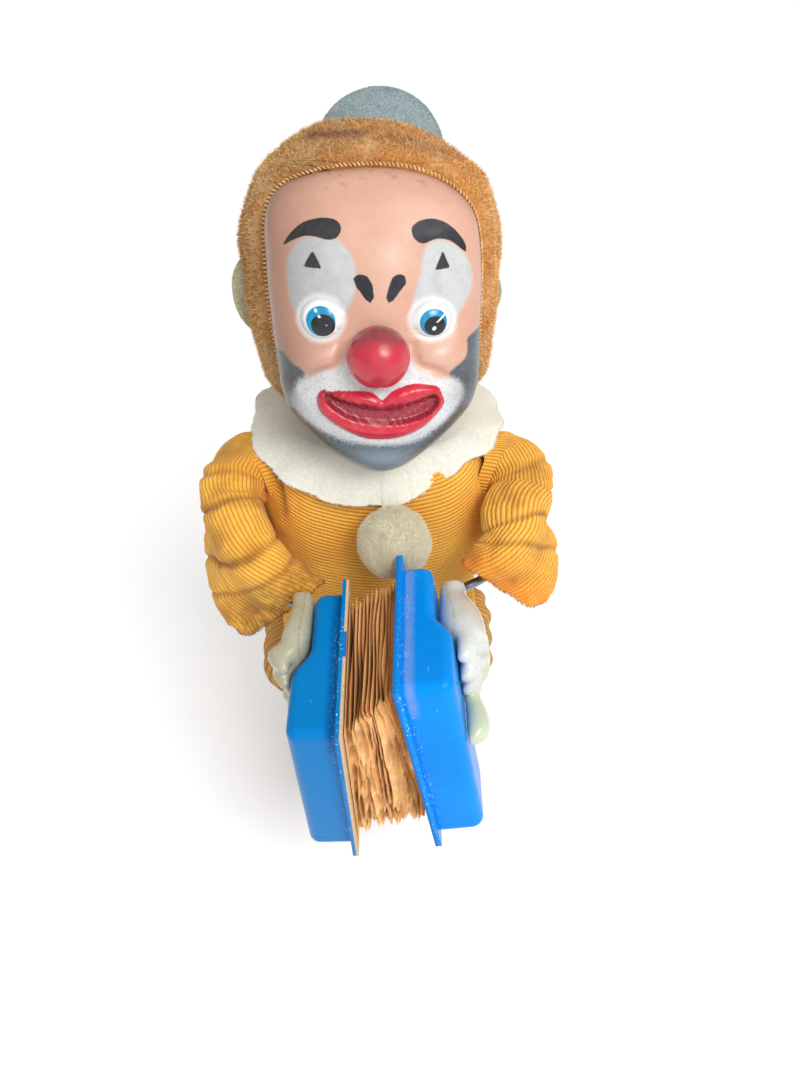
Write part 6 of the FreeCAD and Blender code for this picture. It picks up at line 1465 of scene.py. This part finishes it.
def hand_finish(label):
    f = Finish("ivory_plastic_" + label, Coat_Weight=0.5, Coat_Roughness=0.1, Subsurface_Weight=0.12,
               Subsurface_Scale=0.004)
    broad = f.noise(60.0, 4.0)
    # the right hand's darker, warmer tones are painted shade
    pale, warm = ((218, 221, 216), (202, 203, 192)) if label == "left" else ((188, 186, 162), (170, 167, 139))
    tint = f.mottled(broad, pale, warm, 0.35, 0.7)
    tint = f.spots(tint, (186, 168, 132), f.noise(110.0, 5.0, 0.7), 0.64, 0.76, 0.4)
    # knob: the left hand's lowest tip in a darker, greener ivory, the plastic's tint with painted shade
    tint = f.stained(tint, (202, 211, 184), "knob")
    worn = f.product(f.value("seam"), f.between(f.noise(260.0, 4.0, 0.7), 0.3, 0.65, 0.1, 0.7))
    tint = f.mix(worn, tint, linear(150, 112, 78))
    return f.set(Base_Color=tint, Roughness=f.between(f.noise(500.0), 0.3, 0.7, 0.22, 0.38),
                 Normal=f.bump(broad, 0.1, 0.5))


def card_finish(label):
    """Bare card; the shell's blue edge laps over it, all round on the left and a short way on the right."""
    f = Finish("card_" + label, Roughness=0.85)
    fibre = f.noise(1200.0, 4.0, 0.7)
    tint = f.mottled(fibre, (228, 200, 160), (204, 170, 124))
    _, along, up = in_tray(f, label)
    wander = f.swing(f.noise(300.0, 3.0), 0.002)
    if label == "left":
        inside = f.product(along, -1.0)
        for rim in (f.plus(along, TRAY_LONG * MM), f.product(up, -1.0), f.plus(up, TRAY_TALL * MM)):
            inside = f.math("MINIMUM", inside, rim)
        lap = f.between(f.plus(inside, wander), 0.0016, 0.0012)
    else:
        near = f.math("ABSOLUTE", f.plus(along, 0.0265))
        lap = f.product(f.between(f.plus(near, wander), 0.0050, 0.0046), f.between(up, -0.0016, -0.0012))
    tint = f.mix(lap, tint, linear(0, 112, 194))
    return f.set(Base_Color=tint, Normal=f.bump(fibre, 0.08, 0.6))


FINISHES = {
    "steel": plain_finish("steel_wire", (150, 154, 158), 0.34, (96, 84, 72), 0.9, 0.1, 1500,
                          stretch=(1, 1, 0.2)),
    "sheet_steel": plain_finish("steel_sheet", (172, 176, 180), 0.36, (112, 104, 94), 0.95, 0.06, 700, 0.01,
                                (0.15, 1, 1)),
    "brass": plain_finish("old_brass", (200, 158, 84), 0.32, (124, 96, 50), 0.95, 0.08, 900, 0.01),
    "tin": plain_finish("painted_tin", (150, 152, 152), 0.4, (112, 100, 84), coat=0.3),
    "zinc": plain_finish("zinc_plate", (176, 178, 178), 0.42, (126, 122, 114), 0.8, 0.1, 240),
    "leg": plain_finish("leg_enamel", (176, 158, 124), 0.4, (110, 84, 56), coat=0.3),
    "shoe": plain_finish("shoe_enamel", (86, 50, 34), 0.3, (140, 112, 84), mottle=0.12, grain=420, depth=0.03,
                         coat=0.5),
    "core": plain_finish("head_core_plastic", (222, 212, 190), 0.5, mottle=0.05, grain=600),
}
NODE_FINISH = {
    "lift_yoke": "zinc", "neck_rocker": "zinc", "neck_bracket": "zinc", "winding_key": "zinc",
    "hip_plate": "tin",
    "body_shell_front": "tin", "body_shell_back": "tin", "head_core": "core", "great_wheel": "brass",
    "second_wheel": "brass", "crank_wheel": "brass",
}
for label in SIDES:
    for node, kind, build in (("accordion_shell_", "blue_", shell_finish),
                              ("end_card_", "card_", card_finish)):
        NODE_FINISH[node + label] = kind + label
        FINISHES[kind + label] = build(label)
    for node, kind in (("arm_rod_", "steel"), ("arm_lever_", "zinc"), ("shoe_", "shoe"), ("leg_", "leg")):
        NODE_FINISH[node + label] = kind


def melted_hand(label):
    """A copy of the hand's mesh with its fingers melted together, as in a cheap casting."""
    piece = bpy.data.objects.new("hand_cast_" + label, frame["nodes"]["hand_" + label].data.copy())
    bpy.context.scene.collection.objects.link(piece)
    melt = piece.modifiers.new("melt", "REMESH")
    melt.mode, melt.voxel_size, melt.use_smooth_shade = "VOXEL", 0.00055, True
    soften = piece.modifiers.new("soften", "SMOOTH")
    soften.factor, soften.iterations = 0.6, 44
    cast = bpy.data.meshes.new_from_object(piece.evaluated_get(bpy.context.evaluated_depsgraph_get()))
    piece.modifiers.clear()
    piece.data = cast
    return piece


def make_hand(label):
    side = SIDES[label]
    piece = melted_hand(label)
    cast = piece.data
    points = np.empty(len(cast.vertices) * 3)
    cast.vertices.foreach_get("co", points)
    points = points.reshape(-1, 3) / MM
    top, levels, tall = points[:, 2].max(), 41, 3
    below = (top - points[:, 2]) / tall
    level = np.clip(below.astype(int), 0, levels - 1)
    inner = np.array([np.min(side * points[level == k, 0], initial=np.inf) for k in range(levels)])
    kept = np.isfinite(inner)
    away = side * points[:, 0] - np.interp(below - 0.5, np.arange(levels)[kept], inner[kept])
    squeeze = (0.08 if side > 0 else 0.34) * step(top - 9, top - 20, points[:, 2])
    points[:, 0] -= side * away * squeeze
    cast.vertices.foreach_set("co", (points * MM).ravel())
    values = {"seam": bell(away - 2.6, 0.2) + 0.4 * bell(points[:, 2] - top + 10, 1.6),
              "knob": step(12.5, 10, points[:, 2] - points[:, 2].min()) * (side > 0)}
    for name, value in values.items():
        cast.attributes.new(name, "FLOAT", "POINT").data.foreach_set("value", value)
    cast.update()
    cast.materials.clear()
    cast.materials.append(hand_finish(label))
    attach(piece, "arm_" + label)
    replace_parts(piece, "hand_" + label)


for label in SIDES:
    make_hand(label)
replaced = {node for piece in bpy.data.objects for node in piece.get("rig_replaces", [])}
for label, node in frame["nodes"].items():
    if label in replaced:
        continue
    chosen = FINISHES[NODE_FINISH.get(label, "sheet_steel")]
    for holder in node.material_slots:
        holder.material = chosen
    if not node.material_slots:
        node.data.materials.append(chosen)


# Floor, lamps and world

def make_stage():
    reach, count = 6.0, 40
    spots = np.linspace(-1, 1, count)
    spots = np.sign(spots) * np.abs(spots) ** 3 * reach / MM
    f = Finish("floor", Roughness=0.9)
    f.set(Base_Color=f.mix(f.between(f.noise(3.0), 0.3, 0.7), (0.86, 0.86, 0.86, 1), (0.87, 0.87, 0.87, 1)))
    rays = f.add("LightPath")
    seen = f.math("MAXIMUM", rays.outputs["Is Camera Ray"], rays.outputs["Is Glossy Ray"])
    seen = f.math("MAXIMUM", seen, rays.outputs["Is Transmission Ray"])
    glow = f.add("Emission", {"Color": (1, 1, 1, 1), "Strength": f.product(seen, 0.3)})
    both = f.add("AddShader", {0: f.shader.outputs[0], 1: glow.outputs[0]})
    f.tree.links.new(both.outputs[0], f.tree.nodes["Material Output"].inputs["Surface"])
    floor = make_piece("floor", rows_of(spots, spots[:, None], 0), grid(count, count), f.material)


make_stage()


def lamp(name, kind, energy, place, aim, **settings):
    light = bpy.data.lights.new(name, kind)
    light.energy = energy
    for key, value in settings.items():
        setattr(light, key, value)
    holder = bpy.data.objects.new(name, light)
    holder.location = place
    holder.rotation_euler = (Vector(aim) - Vector(place)).to_track_quat("-Z", "Y").to_euler()
    bpy.context.scene.collection.objects.link(holder)


MIDDLE_OF_TOY = (0, 0, 0.14)
lamp("fill", "SUN", 0.5, (0.1, -1.0, 0.5), MIDDLE_OF_TOY, angle=1.3)
lamp("key", "SUN", 1.1, (0.5, -0.55, 1.1), MIDDLE_OF_TOY, angle=0.7)
lamp("window", "AREA", 1.5, (0.25, -0.45, 0.62), MIDDLE_OF_TOY, shape="RECTANGLE", size=0.26, size_y=0.2)
world = bpy.data.worlds.new("world")
world.use_nodes = True
bpy.context.scene.world = world
tree = world.node_tree
sky = tree.nodes["Background"]
rays = tree.nodes.new("ShaderNodeLightPath")
level = tree.nodes.new("ShaderNodeMath")
level.operation = "MAXIMUM"
tree.links.new(rays.outputs["Is Camera Ray"], level.inputs[0])
level.inputs[1].default_value = 0.53
tree.links.new(level.outputs[0], sky.inputs["Strength"])
sky.inputs["Color"].default_value = (1, 1, 1, 1)

scene_view = bpy.context.scene.view_settings
scene_view.view_transform = "Standard"
